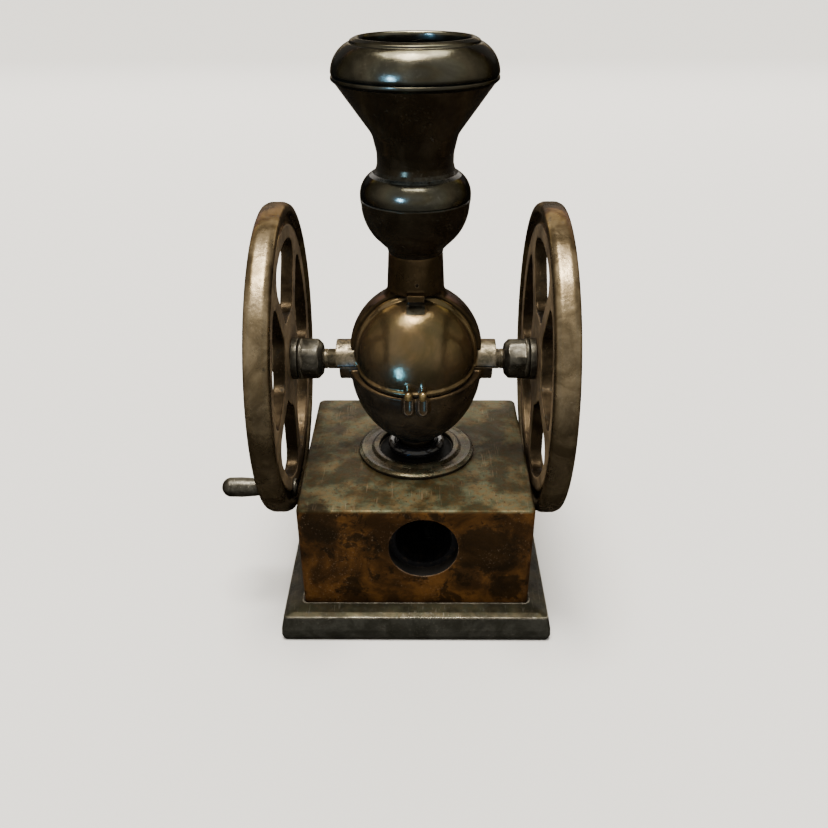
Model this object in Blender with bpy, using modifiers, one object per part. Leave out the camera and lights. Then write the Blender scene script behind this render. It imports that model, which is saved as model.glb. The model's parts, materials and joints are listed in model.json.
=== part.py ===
"""Miniature die-cast coffee mill on a square base that holds a pencil sharpener.

Run it with: blender --background --python part.py

The driving dimensions are in millimetres and MM turns them into metres. Z is up, the base rests on
z = 0, the mill's column stands on the Z axis and the hole in the base faces -Y. The axle runs along X.
Round pieces are turned profiles of (radius, height) points that run top to bottom down the outer side.
"""

import math

import bmesh
import bpy
from mathutils import Matrix, Vector

MM = 0.001
GAP = 0.06  # left between two pieces that rest on each other

# Base
BASE_HALF_TOP = 16.75
BASE_HALF_FOOT = 16.5
BASE_FOOT_Z = 4.3
BASE_TOP_Z = 20.95
BASE_WALL = 1.9
BASE_ROOF = 1.6
PLINTH_HALF = 19.75
PLINTH_TOP_Z = 4.6
COVER_HALF = 14.6
COVER_THICK = 1.3

# Sharpener, which lies along Y behind the hole in the front of the base
HOLE_X = 1.1
HOLE_Z = 14.45
HOLE_R = 4.9
PENCIL_R = 4.1
BLOCK_HALF_WIDTH = 6.5
BLOCK_FRONT_Y = -14.6
BLOCK_BACK_Y = 9.4
BLOCK_TOP_Z = 19.2
CONE_START_Y = -10.5
CONE_END_R = 0.4

# Column and body
COLLAR_R = 8.8
COLLAR_TOP_Z = 22.0
COLLAR_FLOOR_Z = 21.3
BOWL_FOOT_Z = 23.28
BOWL_R = 9.6
BOWL_SWEEP = 13.2  # radius of the bowl's side in section
SHAFT_Z = 36.5
GLOBE_R = 9.55
GLOBE_Z = 38.3
BODY_WALL = 1.3
NECK_R = 3.78
NECK_ROOT_R = 4.05
NECK_TOP_Z = 52.84
COVER_FACE_Y = -2.0
COVER_RADII = (8.3, 7.5, 8.6)
COVER_RIM = 0.48
SEAM_SLOPE = math.atan(0.1875)
BOSS_R = 2.9
BOSS_IN_X = 6.6
BOSS_OUT_X = 11.55
LOWER_BOSS_OUT_X = 11.05
BACK_SCREW_Y = 10.8
BACK_LUG_Y = 12.1

# Hopper
BULB_JOINT_Z = 60.3
BULGE_JOINT_Z = 75.8
BULGE_R = 10.67
MOUTH_R = 6.9
LIP_Z = 79.68

# Axle, wheels and handle
AXLE_R = 1.46
AXLE_FLOAT = -0.35  # the axle rests this far along X in its bearings
AXLE_HALF = 20.4
WHEEL_R = 22.4
RIM_INNER_R = 20.3
WHEEL_IN_X = 17.4
WHEEL_OUT_X = 20.85
WEB_IN_X = 17.8
WEB_OUT_X = 19.65
OPENINGS = 5
OPENING_IN_R = 6.8
OPENING_OUT_R = 17.3
SPOKE_WIDTH = 2.6
OPENING_CORNER = 2.4
HUB_R = 2.98
HUB_WASHER = 0.95
HUB_BOSS_X = 19.95
HUB_IN_X = 13.2
HANDLE_RADIUS = 19.05
HANDLE_ANGLE = math.radians(25)  # from straight down, towards the front
HANDLE_TIP_X = -28.75
HANDLE_Y = -HANDLE_RADIUS * math.sin(HANDLE_ANGLE)
HANDLE_Z = SHAFT_Z - HANDLE_RADIUS * math.cos(HANDLE_ANGLE)

TURNED_STEPS = 36
SMALL_STEPS = 20


# ---------------------------------------------------------------- scene, collections and materials

for old in list(bpy.data.objects):
    bpy.data.objects.remove(old, do_unlink=True)

parts = bpy.data.collections.new("coffee_mill")
bpy.context.scene.collection.children.link(parts)
cutters = bpy.data.collections.new("cutters")
bpy.context.scene.collection.children.link(cutters)


def finish(name, colour, roughness, metallic):
    """A Principled material with one colour, roughness and metallic value."""
    made = bpy.data.materials.new(name)
    made.use_nodes = True
    shader = made.node_tree.nodes["Principled BSDF"]
    shader.inputs["Base Color"].default_value = (*colour, 1)
    shader.inputs["Roughness"].default_value = roughness
    shader.inputs["Metallic"].default_value = metallic
    return made


COPPER_BRONZE = finish("copper_bronze", (0.23, 0.12, 0.05), 0.4, 0.9)
OLIVE_BRONZE = finish("olive_bronze", (0.15, 0.12, 0.06), 0.35, 0.9)
DARK_BRONZE = finish("dark_bronze", (0.045, 0.03, 0.018), 0.25, 0.85)
WHEEL_BRONZE = finish("wheel_bronze", (0.2, 0.14, 0.08), 0.35, 0.9)
GUNMETAL = finish("gunmetal", (0.09, 0.085, 0.075), 0.3, 1.0)
BLACK_LACQUER = finish("black_lacquer", (0.008, 0.008, 0.009), 0.15, 0.2)
ZINC = finish("bare_zinc", (0.45, 0.45, 0.46), 0.4, 1.0)
STEEL = finish("steel", (0.6, 0.6, 0.6), 0.2, 1.0)


# ---------------------------------------------------------------- helpers


def keep(obj, material):
    """Puts a new object among the parts, or among the cutters when it has no material."""
    for owner in list(obj.users_collection):
        owner.objects.unlink(obj)
    if material:
        parts.objects.link(obj)
        obj.data.materials.clear()
        obj.data.materials.append(material)
    else:
        cutters.objects.link(obj)
        obj.hide_render = True
        obj.display_type = "WIRE"
    return obj


def arc(centre, radius, start, end, steps):
    """Points on an arc in the profile plane, with its angles in degrees from the radius axis."""
    turns = [math.radians(start + (end - start) * i / steps) for i in range(steps + 1)]
    return [(centre[0] + radius * math.cos(a), centre[1] + radius * math.sin(a)) for a in turns]


def lathe(name, profile, material=None, steps=TURNED_STEPS):
    """A profile turned about Z. It closes on itself unless both of its ends are on the axis."""
    mesh = bpy.data.meshes.new(name)
    edges = [(i, i + 1) for i in range(len(profile) - 1)]
    if profile[0][0] > 0 or profile[-1][0] > 0:
        edges.append((len(profile) - 1, 0))
    mesh.from_pydata([(r * MM, 0, z * MM) for r, z in profile], edges, [])
    obj = bpy.data.objects.new(name, mesh)
    keep_new(obj)
    screw = obj.modifiers.new("Turned", "SCREW")
    screw.steps = steps
    screw.render_steps = steps
    screw.use_merge_vertices = True
    screw.merge_threshold = 0.00001
    return keep(obj, material)


def keep_new(obj):
    """Links an object so that keep can move it to its own collection."""
    bpy.context.scene.collection.objects.link(obj)


def rod(name, radius, low, high, material=None, steps=SMALL_STEPS):
    """A plain cylinder along Z from low to high."""
    return lathe(name, [(0, high), (radius, high), (radius, low), (0, low)], material, steps)


def block(name, low, high, material=None, bevel=0.0):
    """A box between two corners, with its edges rounded by bevel."""
    mesh = bpy.data.meshes.new(name)
    solid = bmesh.new()
    size = Vector(high) - Vector(low)
    centre = (Vector(high) + Vector(low)) / 2
    bmesh.ops.create_cube(solid, size=1, matrix=Matrix.Diagonal((*(size * MM), 1)))
    solid.to_mesh(mesh)
    solid.free()
    obj = bpy.data.objects.new(name, mesh)
    keep_new(obj)
    obj.location = centre * MM
    if bevel:
        rounded = obj.modifiers.new("Rounded", "BEVEL")
        rounded.width = bevel * MM
        rounded.segments = 2
    return keep(obj, material)


def plate(name, outline, thickness, material=None):
    """A flat outline in its own XY plane, thickness thick about that plane, as a mesh."""
    curve = bpy.data.curves.new(name, "CURVE")
    curve.dimensions = "2D"
    curve.fill_mode = "BOTH"
    curve.extrude = thickness * MM / 2
    spline = curve.splines.new("POLY")
    spline.points.add(len(outline) - 1)
    for point, (x, y) in zip(spline.points, outline):
        point.co = (x * MM, y * MM, 0, 1)
    spline.use_cyclic_u = True
    drawn = bpy.data.objects.new(name + "_outline", curve)
    keep_new(drawn)
    graph = bpy.context.evaluated_depsgraph_get()
    mesh = bpy.data.meshes.new_from_object(drawn.evaluated_get(graph))
    bpy.data.objects.remove(drawn, do_unlink=True)
    solid = bmesh.new()
    solid.from_mesh(mesh)
    bmesh.ops.remove_doubles(solid, verts=solid.verts, dist=0.000001)
    bmesh.ops.recalc_face_normals(solid, faces=solid.faces)
    solid.to_mesh(mesh)
    solid.free()
    obj = bpy.data.objects.new(name, mesh)
    keep_new(obj)
    return keep(obj, material)


def place(obj, location=(0, 0, 0), turn=(0, 0, 0)):
    """Moves an object to a place in millimetres and turns it by angles in degrees."""
    obj.location = Vector(location) * MM
    obj.rotation_euler = [math.radians(angle) for angle in turn]
    return obj


def combine(obj, other, operation):
    """Adds one Boolean step to a part."""
    step = obj.modifiers.new(f"{operation.title()} {other.name}", "BOOLEAN")
    step.object = other
    step.operation = operation
    step.solver = "EXACT"


def cut(obj, *others):
    for other in others:
        combine(obj, other, "DIFFERENCE")


def join(obj, *others):
    for other in others:
        combine(obj, other, "UNION")


def along_x(obj, x=0.0, y=0.0, z=SHAFT_Z):
    """Turns a piece made along +Z to lie along +X, starting at x on the given line."""
    return place(obj, (x, y, z), (0, 90, 0))


def smooth(obj):
    """Applies a part's modifiers, then shades it smooth apart from its sharp edges."""
    graph = bpy.context.evaluated_depsgraph_get()
    mesh = bpy.data.meshes.new_from_object(obj.evaluated_get(graph))
    obj.modifiers.clear()
    obj.data = mesh
    mesh.shade_smooth()
    mesh.set_sharp_from_angle(angle=math.radians(35))


# ---------------------------------------------------------------- base


def square_ring(name, half_sections, material):
    """A square frame or box whose half width at each height is given by (half, z) points."""
    mesh = bpy.data.meshes.new(name)
    solid = bmesh.new()
    low_half, low_z = half_sections[0]
    bmesh.ops.create_grid(solid, x_segments=1, y_segments=1, size=low_half * MM)
    bmesh.ops.translate(solid, verts=solid.verts, vec=(0, 0, low_z * MM))
    top = solid.faces[:]
    bmesh.ops.reverse_faces(solid, faces=top)
    for half, z in half_sections[1:]:
        raised = bmesh.ops.extrude_face_region(solid, geom=top)
        corners = [e for e in raised["geom"] if isinstance(e, bmesh.types.BMVert)]
        for corner in corners:
            corner.co.x = math.copysign(half * MM, corner.co.x)
            corner.co.y = math.copysign(half * MM, corner.co.y)
            corner.co.z = z * MM
        new_top = [e for e in raised["geom"] if isinstance(e, bmesh.types.BMFace)]
        if top[0] is not new_top[0] and half_sections.index((half, z)) > 1:
            bmesh.ops.delete(solid, geom=top, context="FACES_ONLY")
        top = new_top
    bmesh.ops.recalc_face_normals(solid, faces=solid.faces)
    solid.to_mesh(mesh)
    solid.free()
    obj = bpy.data.objects.new(name, mesh)
    keep_new(obj)
    return keep(obj, material)


def round_uprights(obj, width):
    """Rounds the four upright corners of a square part."""
    weights = obj.data.attributes.new("bevel_weight_edge", "FLOAT", "EDGE")
    for edge in obj.data.edges:
        a, b = (obj.data.vertices[i].co for i in edge.vertices)
        upright = abs(a.z - b.z) > 0.2 * max(abs(a.x - b.x), abs(a.y - b.y), 1e-9)
        weights.data[edge.index].value = 1.0 if upright else 0.0
    rounded = obj.modifiers.new("Uprights", "BEVEL")
    rounded.limit_method = "WEIGHT"
    rounded.width = width * MM
    rounded.segments = 3


def make_base():
    """The hollow box with its pencil hole, the plinth, the bottom cover and its two screws."""
    housing = square_ring(
        "base_housing",
        [
            (BASE_HALF_FOOT, BASE_FOOT_Z),
            (BASE_HALF_TOP, BASE_TOP_Z - 0.35),
            (BASE_HALF_TOP - 0.35, BASE_TOP_Z),
        ],
        COPPER_BRONZE,
    )
    round_uprights(housing, 1.0)
    inner = BASE_HALF_FOOT - BASE_WALL
    cavity = block("base_cavity", (-inner, -inner, 0), (inner, inner, BASE_TOP_Z - BASE_ROOF))
    pencil_hole = place(rod("pencil_hole", HOLE_R, 0, 5, steps=40), (HOLE_X, -13, HOLE_Z), (90, 0, 0))
    screw_hole = rod("column_screw_hole", 1.7, BASE_TOP_Z - 3, BASE_TOP_Z + 1)
    cut(housing, cavity, pencil_hole, screw_hole)
    for side, sign in (("left", -1), ("right", 1)):
        near = HOLE_X + sign * (BLOCK_HALF_WIDTH + GAP)
        far = near + sign * 1.2
        rail = block(
            f"sharpener_rail_{side}",
            (min(near, far), -inner - 0.5, 8.0),
            (max(near, far), -6.0, BASE_TOP_Z - BASE_ROOF + 0.4),
        )
        join(housing, rail)

    plinth = square_ring(
        "base_plinth",
        [
            (PLINTH_HALF - 0.3, 0),
            (PLINTH_HALF, 1.1),
            (PLINTH_HALF - 0.05, 1.75),
            (PLINTH_HALF - 0.75, 2.45),
            (PLINTH_HALF - 1.25, 3.45),
            (PLINTH_HALF - 1.6, 3.7),
            (BASE_HALF_FOOT + 0.5, PLINTH_TOP_Z),
        ],
        OLIVE_BRONZE,
    )
    round_uprights(plinth, 1.2)
    ledge = inner - GAP
    opening = block("plinth_opening", (-ledge, -ledge, -1), (ledge, ledge, 6))
    foot = BASE_HALF_FOOT + 0.12
    socket = block("plinth_socket", (-foot, -foot, BASE_FOOT_Z - GAP), (foot, foot, 8))
    round_uprights(opening, 0.8)
    round_uprights(socket, 0.9)
    cut(plinth, opening, socket)
    cover = block(
        "bottom_cover",
        (-COVER_HALF + 0.12, -COVER_HALF + 0.12, 0),
        (COVER_HALF - 0.12, COVER_HALF - 0.12, COVER_THICK),
        OLIVE_BRONZE,
    )
    round_uprights(cover, 0.8)
    for side, sign in (("left", -1), ("right", 1)):
        x = sign * 12.7
        lug_low = min(sign * 10.9, sign * (ledge + 0.3))
        lug_high = max(sign * 10.9, sign * (ledge + 0.3))
        lug = block(f"cover_lug_{side}", (lug_low, -2.3, COVER_THICK + GAP), (lug_high, 2.3, 4.1))
        join(plinth, lug)
        cut(plinth, place(rod(f"lug_hole_{side}", 0.75, 0, 3.6), (x, 0, 0)))
        counterbore = [(0, 2), (0.8, 2), (0.8, 0.85), (1.65, 0.85), (1.65, -1), (0, -1)]
        cut(cover, place(lathe(f"cover_hole_{side}", counterbore, None, SMALL_STEPS), (x, 0, 0)))
        screw = lathe(
            f"cover_screw_{side}",
            [(0, 3.4), (0.68, 3.4), (0.68, 0.8), (1.5, 0.8), (1.5, 0.3), (1.3, 0.15), (0, 0.15)],
            STEEL,
            SMALL_STEPS,
        )
        place(screw, (x, 0, 0))
        slot = block(f"cover_screw_slot_{side}", (x - 2, -0.2, -1), (x + 2, 0.2, 0.4))
        cut(screw, slot)


# ---------------------------------------------------------------- sharpener


def make_sharpener():
    """The wedge-shaped block with its conical bore, the blade on its sloping face, and the blade screw."""
    cone_angle = math.atan((PENCIL_R - CONE_END_R) / (BLOCK_BACK_Y - CONE_START_Y))
    slope_start_z = HOLE_Z - PENCIL_R - 0.15
    slope_end_z = slope_start_z + (BLOCK_BACK_Y - CONE_START_Y) * math.tan(cone_angle)
    side_view = [
        (BLOCK_FRONT_Y, slope_start_z - 1.0),
        (CONE_START_Y - 0.6, slope_start_z - 1.0),
        (CONE_START_Y, slope_start_z),
        (BLOCK_BACK_Y, slope_end_z),
        (BLOCK_BACK_Y, BLOCK_TOP_Z),
        (BLOCK_FRONT_Y, BLOCK_TOP_Z),
    ]
    body = plate("sharpener_body", side_view, 2 * BLOCK_HALF_WIDTH, ZINC)
    place(body, (HOLE_X, 0, 0), (90, 0, 90))
    bore = lathe(
        "pencil_bore",
        [
            (0, 16),
            (PENCIL_R, 16),
            (PENCIL_R, -CONE_START_Y),
            (CONE_END_R, -BLOCK_BACK_Y),
            (CONE_END_R, -12),
            (0, -12),
        ],
        steps=32,
    )
    place(bore, (HOLE_X, 0, HOLE_Z), (90, 0, 0))
    window = block("shaving_window", (HOLE_X - 0.1, -9.5, 8), (HOLE_X + 1.9, 6.5, HOLE_Z - 1.3))
    head_pocket = rod("column_screw_pocket", 3.4, 17.75, 21)
    cut(body, bore, window, head_pocket)

    middle_y = (CONE_START_Y + BLOCK_BACK_Y) / 2
    middle_z = (slope_start_z + slope_end_z) / 2
    lean = math.degrees(cone_angle)
    blade_x = HOLE_X + 3.3
    screw_x = HOLE_X + 3.9

    def off_slope(distance):
        """A point this far below the middle of the sloping face, square to it."""
        return (
            middle_y + distance * math.sin(cone_angle),
            middle_z - distance * math.cos(cone_angle),
        )

    blade_outline = [(-3.2, -8.2), (2.9, -8.2), (2.9, 8.2), (-3.2, 8.2)]
    blade = plate("sharpener_blade", blade_outline, 0.5, STEEL)
    blade_y, blade_z = off_slope(0.25 + GAP)
    place(blade, (blade_x, blade_y, blade_z), (lean, 0, 0))
    screw_top_y, screw_top_z = off_slope(0.5 + 2 * GAP)
    shank = [(0, 2.4), (1.0, 2.4), (1.0, 0), (1.9, 0), (1.9, -0.6), (1.5, -1.0), (0, -1.0)]
    screw = lathe("blade_screw", shank, STEEL, SMALL_STEPS)
    place(screw, (screw_x, screw_top_y, screw_top_z), (lean, 0, 0))
    slot = block("blade_screw_slot", (-3, -0.25, -2), (3, 0.25, -0.6))
    place(slot, (screw_x, screw_top_y, screw_top_z), (lean, 0, 0))
    slot.data.transform(Matrix.Translation((0, 0, -1.3 * MM)))
    cut(screw, slot)
    hole = place(rod("blade_hole", 1.08, -1, 3), (screw_x, screw_top_y, screw_top_z), (lean, 0, 0))
    cut(blade, hole)
    cut(body, hole)


# ---------------------------------------------------------------- column and body


def make_column():
    """The collar on the base, the black ring, and the screw that holds the bowl down through them."""
    collar_profile = [(1.7, COLLAR_FLOOR_Z), (5.6, COLLAR_FLOOR_Z), (5.75, COLLAR_TOP_Z - 0.35)]
    collar_profile += arc((6.2, COLLAR_TOP_Z - 0.45), 0.45, 170, 80, 2)
    collar_profile += arc((COLLAR_R - 0.5, COLLAR_TOP_Z - 0.5), 0.5, 90, 0, 3)
    collar_profile += [(COLLAR_R, BASE_TOP_Z + GAP), (1.7, BASE_TOP_Z + GAP)]
    lathe("base_collar", collar_profile, OLIVE_BRONZE)
    ring_profile = arc((3.42, COLLAR_FLOOR_Z + GAP + 0.93), 0.93, 90, -270, 10)[:-1]
    lathe("foot_ring", ring_profile, BLACK_LACQUER, 28)
    head_z = BASE_TOP_Z - BASE_ROOF - GAP
    shank = [(0, 26.0), (1.4, 26.0), (1.4, head_z), (2.9, head_z), (2.9, head_z - 0.9)]
    shank += [(2.5, head_z - 1.2), (0, head_z - 1.2)]
    screw = lathe("column_screw", shank, STEEL, SMALL_STEPS)
    slot = block("column_screw_slot", (-4, -0.35, 15), (4, 0.35, head_z - 0.6))
    cut(screw, slot)


def half_space_below_seam(name, shift):
    """Everything in front of the shaft and below the sloping seam, moved up by shift."""
    wedge = block(name, (-14, -30, -30), (14, 0, 0))
    wedge.data.transform(Matrix.Translation((0, -15 * MM, -15 * MM)))
    wedge.location = (0, 0, (SHAFT_Z + shift) * MM)
    wedge.rotation_euler = (SEAM_SLOPE, 0, 0)
    return wedge


def half_space_above_seam(name, shift):
    """Everything in front of the shaft and above the sloping seam, moved down by shift."""
    wedge = block(name, (-14, -30, 0), (14, 0, 30))
    wedge.data.transform(Matrix.Translation((0, -15 * MM, 15 * MM)))
    wedge.location = (0, 0, (SHAFT_Z - shift) * MM)
    wedge.rotation_euler = (SEAM_SLOPE, 0, 0)
    return wedge


def half_boss(name, side, upper):
    """One half of a shaft bearing: a half cylinder along X, split on the shaft's level plane."""
    up = 1 if upper else -1
    shape = [(y, up * max(z, GAP)) for y, z in arc((0, 0), BOSS_R, 0, 180, 12)]
    out = BOSS_OUT_X if upper else LOWER_BOSS_OUT_X
    boss = plate(name, shape, out - BOSS_IN_X)
    middle = side * (BOSS_IN_X + out) / 2
    return place(boss, (middle, 0, SHAFT_Z), (90, 0, 90))


def shaft_bore(name):
    """The running hole for the axle, right through both bearings."""
    return along_x(rod(name, AXLE_R + 0.05, -14, 14, steps=24))


def make_bowl():
    """The lower casting: bowl, foot, lower bearing halves, front pad and back lug."""
    centre_r = BOWL_R - BOWL_SWEEP
    split_z = SHAFT_Z - GAP
    inner = arc((centre_r, 35.5), BOWL_SWEEP - BODY_WALL, -31, 0, 4)
    profile = [(0, 27.4)] + inner + [(BOWL_R - BODY_WALL, split_z), (BOWL_R + 0.2, split_z)]
    profile += [(BOWL_R + 0.2, split_z - 0.55), (BOWL_R, split_z - 0.75)]
    profile += arc((centre_r, 35.5), BOWL_SWEEP, 0, -53, 8)
    profile += [(3.95, 24.2), (3.5, BOWL_FOOT_Z), (2.4, BOWL_FOOT_Z), (2.4, COLLAR_FLOOR_Z + GAP)]
    profile += [(1.5, COLLAR_FLOOR_Z + GAP), (1.5, 26.4), (0, 26.4)]
    bowl = lathe("lower_bowl", profile, COPPER_BRONZE)
    cut(bowl, half_space_above_seam("bowl_seam", GAP))
    lip_profile = [(BOWL_R - 0.6, 0.02), (BOWL_R + 0.2, 0.02), (BOWL_R + 0.2, -0.5)]
    lip_profile += [(BOWL_R - 0.2, -0.8), (BOWL_R - 0.6, -0.8)]
    lip = lathe("bowl_front_lip", lip_profile, None)
    lip.location = (0, 0, (SHAFT_Z - GAP - 0.02) * MM)
    lip.rotation_euler = (SEAM_SLOPE, 0, 0)
    front_only = block("front_half", (-14, -14, 20), (14, -0.6, 50))
    combine(lip, front_only, "INTERSECT")
    join(bowl, lip)
    for side, sign in (("left", -1), ("right", 1)):
        join(bowl, half_boss(f"bowl_boss_{side}", sign, upper=False))
    pad = block("rivet_pad", (-1.95, -10.3, 32.1), (1.95, -8.6, 35.85), bevel=0.25)
    join(bowl, pad)
    back_lug = block("bowl_back_lug", (-1.6, 8.7, 33.4), (1.6, BACK_LUG_Y, SHAFT_Z - GAP), bevel=0.3)
    join(bowl, back_lug)
    cut(bowl, block("cover_seat", (-2.6, -9.4, SHAFT_Z - 1.8), (2.6, -7.0, 37.2)))
    for side, sign in (("left", -1), ("right", 1)):
        pocket = block(f"pad_pocket_{side}", (sign - 0.55, -10.9, 33.1), (sign + 0.55, -9.75, 34.4))
        hole = place(rod(f"rivet_hole_{side}", 0.42, -3, 3, steps=12), (sign, -9.2, 35.25), (90, 0, 0))
        cut(bowl, pocket, hole)
    cut(bowl, place(rod("back_screw_hole", 0.56, 33.9, 38, steps=12), (0, BACK_SCREW_Y, 0)))
    cut(bowl, shaft_bore("bowl_shaft_bore"))
    return bowl


def make_rear_body():
    """The upper back casting: the rear of the globe, the neck, the keeper and the back lug."""
    outer_start = math.degrees(math.acos(4.45 / GLOBE_R))
    outer_end = -math.degrees(math.asin((GLOBE_Z - SHAFT_Z - GAP) / GLOBE_R))
    inner_r = GLOBE_R - BODY_WALL
    inner_end = -math.degrees(math.asin((GLOBE_Z - SHAFT_Z - GAP) / inner_r))
    profile = [(0, 48.2), (1.3, 48.2), (1.3, NECK_TOP_Z), (NECK_R, NECK_TOP_Z)]
    profile += [(NECK_ROOT_R, 47.5)]
    profile += arc((0, GLOBE_Z), GLOBE_R, outer_start, outer_end, 8)
    profile += arc((0, GLOBE_Z), inner_r, inner_end, 90, 7)[:-1]
    profile += [(0, GLOBE_Z + inner_r)]
    body = lathe("rear_body", profile, COPPER_BRONZE)
    cut(body, block("front_opening", (-12, -12, 30), (12, COVER_FACE_Y, 47.45)))
    keeper = block("cover_keeper", (-1.15, -5.2, 47.3), (1.15, -3.3, 48.2), bevel=0.12)
    join(body, keeper)
    lug = block("body_back_lug", (-1.6, 8.5, SHAFT_Z + GAP), (1.6, BACK_LUG_Y, 38.6), bevel=0.3)
    join(body, lug)
    cut(body, place(rod("back_screw_way", 0.56, 33, 40, steps=12), (0, BACK_SCREW_Y, 0)))
    for side, sign in (("left", -1), ("right", 1)):
        start = 7.0 if sign > 0 else -13.0
        notch = along_x(rod(f"boss_notch_{side}", BOSS_R + 0.1, 0, 6, steps=24), start)
        cut(body, notch)
    return body


def ellipsoid(name, radii, centre):
    """A UV sphere stretched to three radii."""
    mesh = bpy.data.meshes.new(name)
    solid = bmesh.new()
    stretch = Matrix.Diagonal((radii[0] * MM, radii[1] * MM, radii[2] * MM, 1))
    bmesh.ops.create_uvsphere(solid, u_segments=32, v_segments=16, radius=1, matrix=stretch)
    solid.to_mesh(mesh)
    solid.free()
    obj = bpy.data.objects.new(name, mesh)
    keep_new(obj)
    obj.location = Vector(centre) * MM
    return obj


def make_front_cover():
    """The front dome with its rim, lower lip, upper bearing halves and top tab."""
    face_y = COVER_FACE_Y - GAP
    centre = (0, face_y, GLOBE_Z)
    cover = keep(ellipsoid("front_cover", COVER_RADII, centre), OLIVE_BRONZE)
    rim = lathe("cover_rim", [(0, 0.85), (1, 0.85), (1, 0), (0, 0)], steps=TURNED_STEPS)
    rim.scale = (COVER_RADII[0] + COVER_RIM, COVER_RADII[2] + COVER_RIM, 1)
    place(rim, centre, (90, 0, 0))
    join(cover, rim)
    lip_radii = (COVER_RADII[0] + 0.4, COVER_RADII[1] + 0.4, COVER_RADII[2] + 0.3)
    lip = keep(ellipsoid("cover_lip", lip_radii, centre), None)
    above_lip = half_space_above_seam("above_lip", -0.75)
    behind_lip = block("behind_lip", (-14, face_y - 0.3, 20), (14, 20, 60))
    cut(lip, above_lip, behind_lip)
    join(cover, lip)
    hollow_radii = [radius - 1.2 for radius in COVER_RADII]
    cut(cover, keep(ellipsoid("cover_hollow", hollow_radii, centre), None))
    cut(cover, block("behind_cover", (-14, face_y, 20), (14, 20, 60)))
    cut(cover, half_space_below_seam("cover_seam", GAP))
    for side, sign in (("left", -1), ("right", 1)):
        near, far = sorted((sign * (BOSS_IN_X - GAP), sign * 12))
        cut(cover, block(f"lower_boss_{side}", (near, -BOSS_R - GAP, 30), (far, 1, SHAFT_Z + GAP)))
        join(cover, half_boss(f"cover_boss_{side}", sign, upper=True))
        hole = place(rod(f"cover_rivet_hole_{side}", 0.42, -3, 3, steps=12), (sign, -8.2, 35.25), (90, 0, 0))
        cut(cover, hole)
    join(cover, block("cover_tab", (-1.1, -4.65, 45.6), (1.1, -3.9, 47.22)))
    cut(cover, block("pad_clearance", (-2.15, -12, 30), (2.15, -9.34, 36.2)))
    cut(cover, shaft_bore("cover_shaft_bore"))
    return cover


def make_body_fasteners():
    """The two dome-headed rivets at the bottom of the cover and the clamp screw at the back."""
    for side, sign in (("left", -1), ("right", 1)):
        head = [(0, 0.62)] + arc((0, 0), 0.72, 60, 0, 3) + [(0.38, 0), (0.38, -2.6), (0, -2.6)]
        rivet = lathe(f"cover_rivet_{side}", head, OLIVE_BRONZE, 16)
        place(rivet, (sign, -10.3 - GAP, 35.25), (90, 0, 0))
    head_z = 38.6 + GAP
    shank = [(0, head_z + 0.75), (0.75, head_z + 0.7), (1.05, head_z + 0.35), (1.05, head_z)]
    shank += [(0.5, head_z), (0.5, 34.1), (0, 34.1)]
    screw = place(lathe("back_screw", shank, GUNMETAL, 16), (0, BACK_SCREW_Y, 0))
    slot_low = (-2, BACK_SCREW_Y - 0.15, head_z + 0.45)
    slot = block("back_screw_slot", slot_low, (2, BACK_SCREW_Y + 0.15, head_z + 2))
    cut(screw, slot)


# ---------------------------------------------------------------- hopper


def make_hopper():
    """The cup at the bottom, the waisted funnel, the rim ring, and the screw inside that holds them."""
    foot_z = NECK_TOP_Z + GAP
    cup = [(1.4, 54.9), (3.6, 54.9)]
    cup += [(5.1, 56.3), (6.1, 58.6), (6.25, BULB_JOINT_Z - GAP / 2)]
    cup += [(7.42, BULB_JOINT_Z - GAP / 2), (7.42, 60.0)]
    cup += arc((7.25 - 7.0, 59.75), 7.0, 0, -41, 6)
    cup += [(3.95, 53.35), (3.8, foot_z), (1.4, foot_z)]
    lathe("hopper_cup", cup, DARK_BRONZE)

    top = BULGE_JOINT_Z - GAP / 2
    bottom = BULB_JOINT_Z + GAP / 2
    funnel = [(8.7, top), (BULGE_R, top), (BULGE_R, top - 0.2), (10.35, top - 0.5)]
    funnel += [(5.65, 68.7), (5.2, 67.4), (5.03, 66.0), (5.05, 64.9), (5.3, 64.3)]
    funnel += [(6.3, 62.95), (6.65, 62.65)]
    funnel += arc((4.42, BULB_JOINT_Z + 0.3), 3.0, 46, 0, 4)
    funnel += [(7.42, bottom), (6.25, bottom), (6.2, 61.0), (5.4, 62.4)]
    funnel += [(3.95, 64.6), (3.85, 66.2), (4.5, 69.0), (8.7, 75.1)]
    lathe("hopper_funnel", funnel, DARK_BRONZE)

    rim = arc((MOUTH_R + 0.47, LIP_Z), 0.45, 180, 0, 6)
    rim += [(MOUTH_R + 0.98, LIP_Z - 0.2)]
    rim += arc((6.6, BULGE_JOINT_Z + 0.1), 3.97, 68, 0, 8)
    rim += [(BULGE_R - 0.1, BULGE_JOINT_Z + GAP / 2), (8.7, BULGE_JOINT_Z + GAP / 2)]
    rim += [(8.9, 76.6), (8.3, 78.0), (MOUTH_R + 0.02, 79.0)]
    lathe("hopper_rim", rim, DARK_BRONZE)

    head_z = 54.9 + GAP
    bolt = [(0, head_z + 1.2), (1.9, head_z + 1.2), (2.4, head_z + 0.8), (2.4, head_z)]
    bolt += [(1.2, head_z), (1.2, 48.5), (0, 48.5)]
    screw = lathe("hopper_screw", bolt, STEEL, SMALL_STEPS)
    slot = block("hopper_screw_slot", (-4, -0.3, head_z + 0.6), (4, 0.3, head_z + 3))
    cut(screw, slot)


# ---------------------------------------------------------------- axle, wheels and handle


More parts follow.
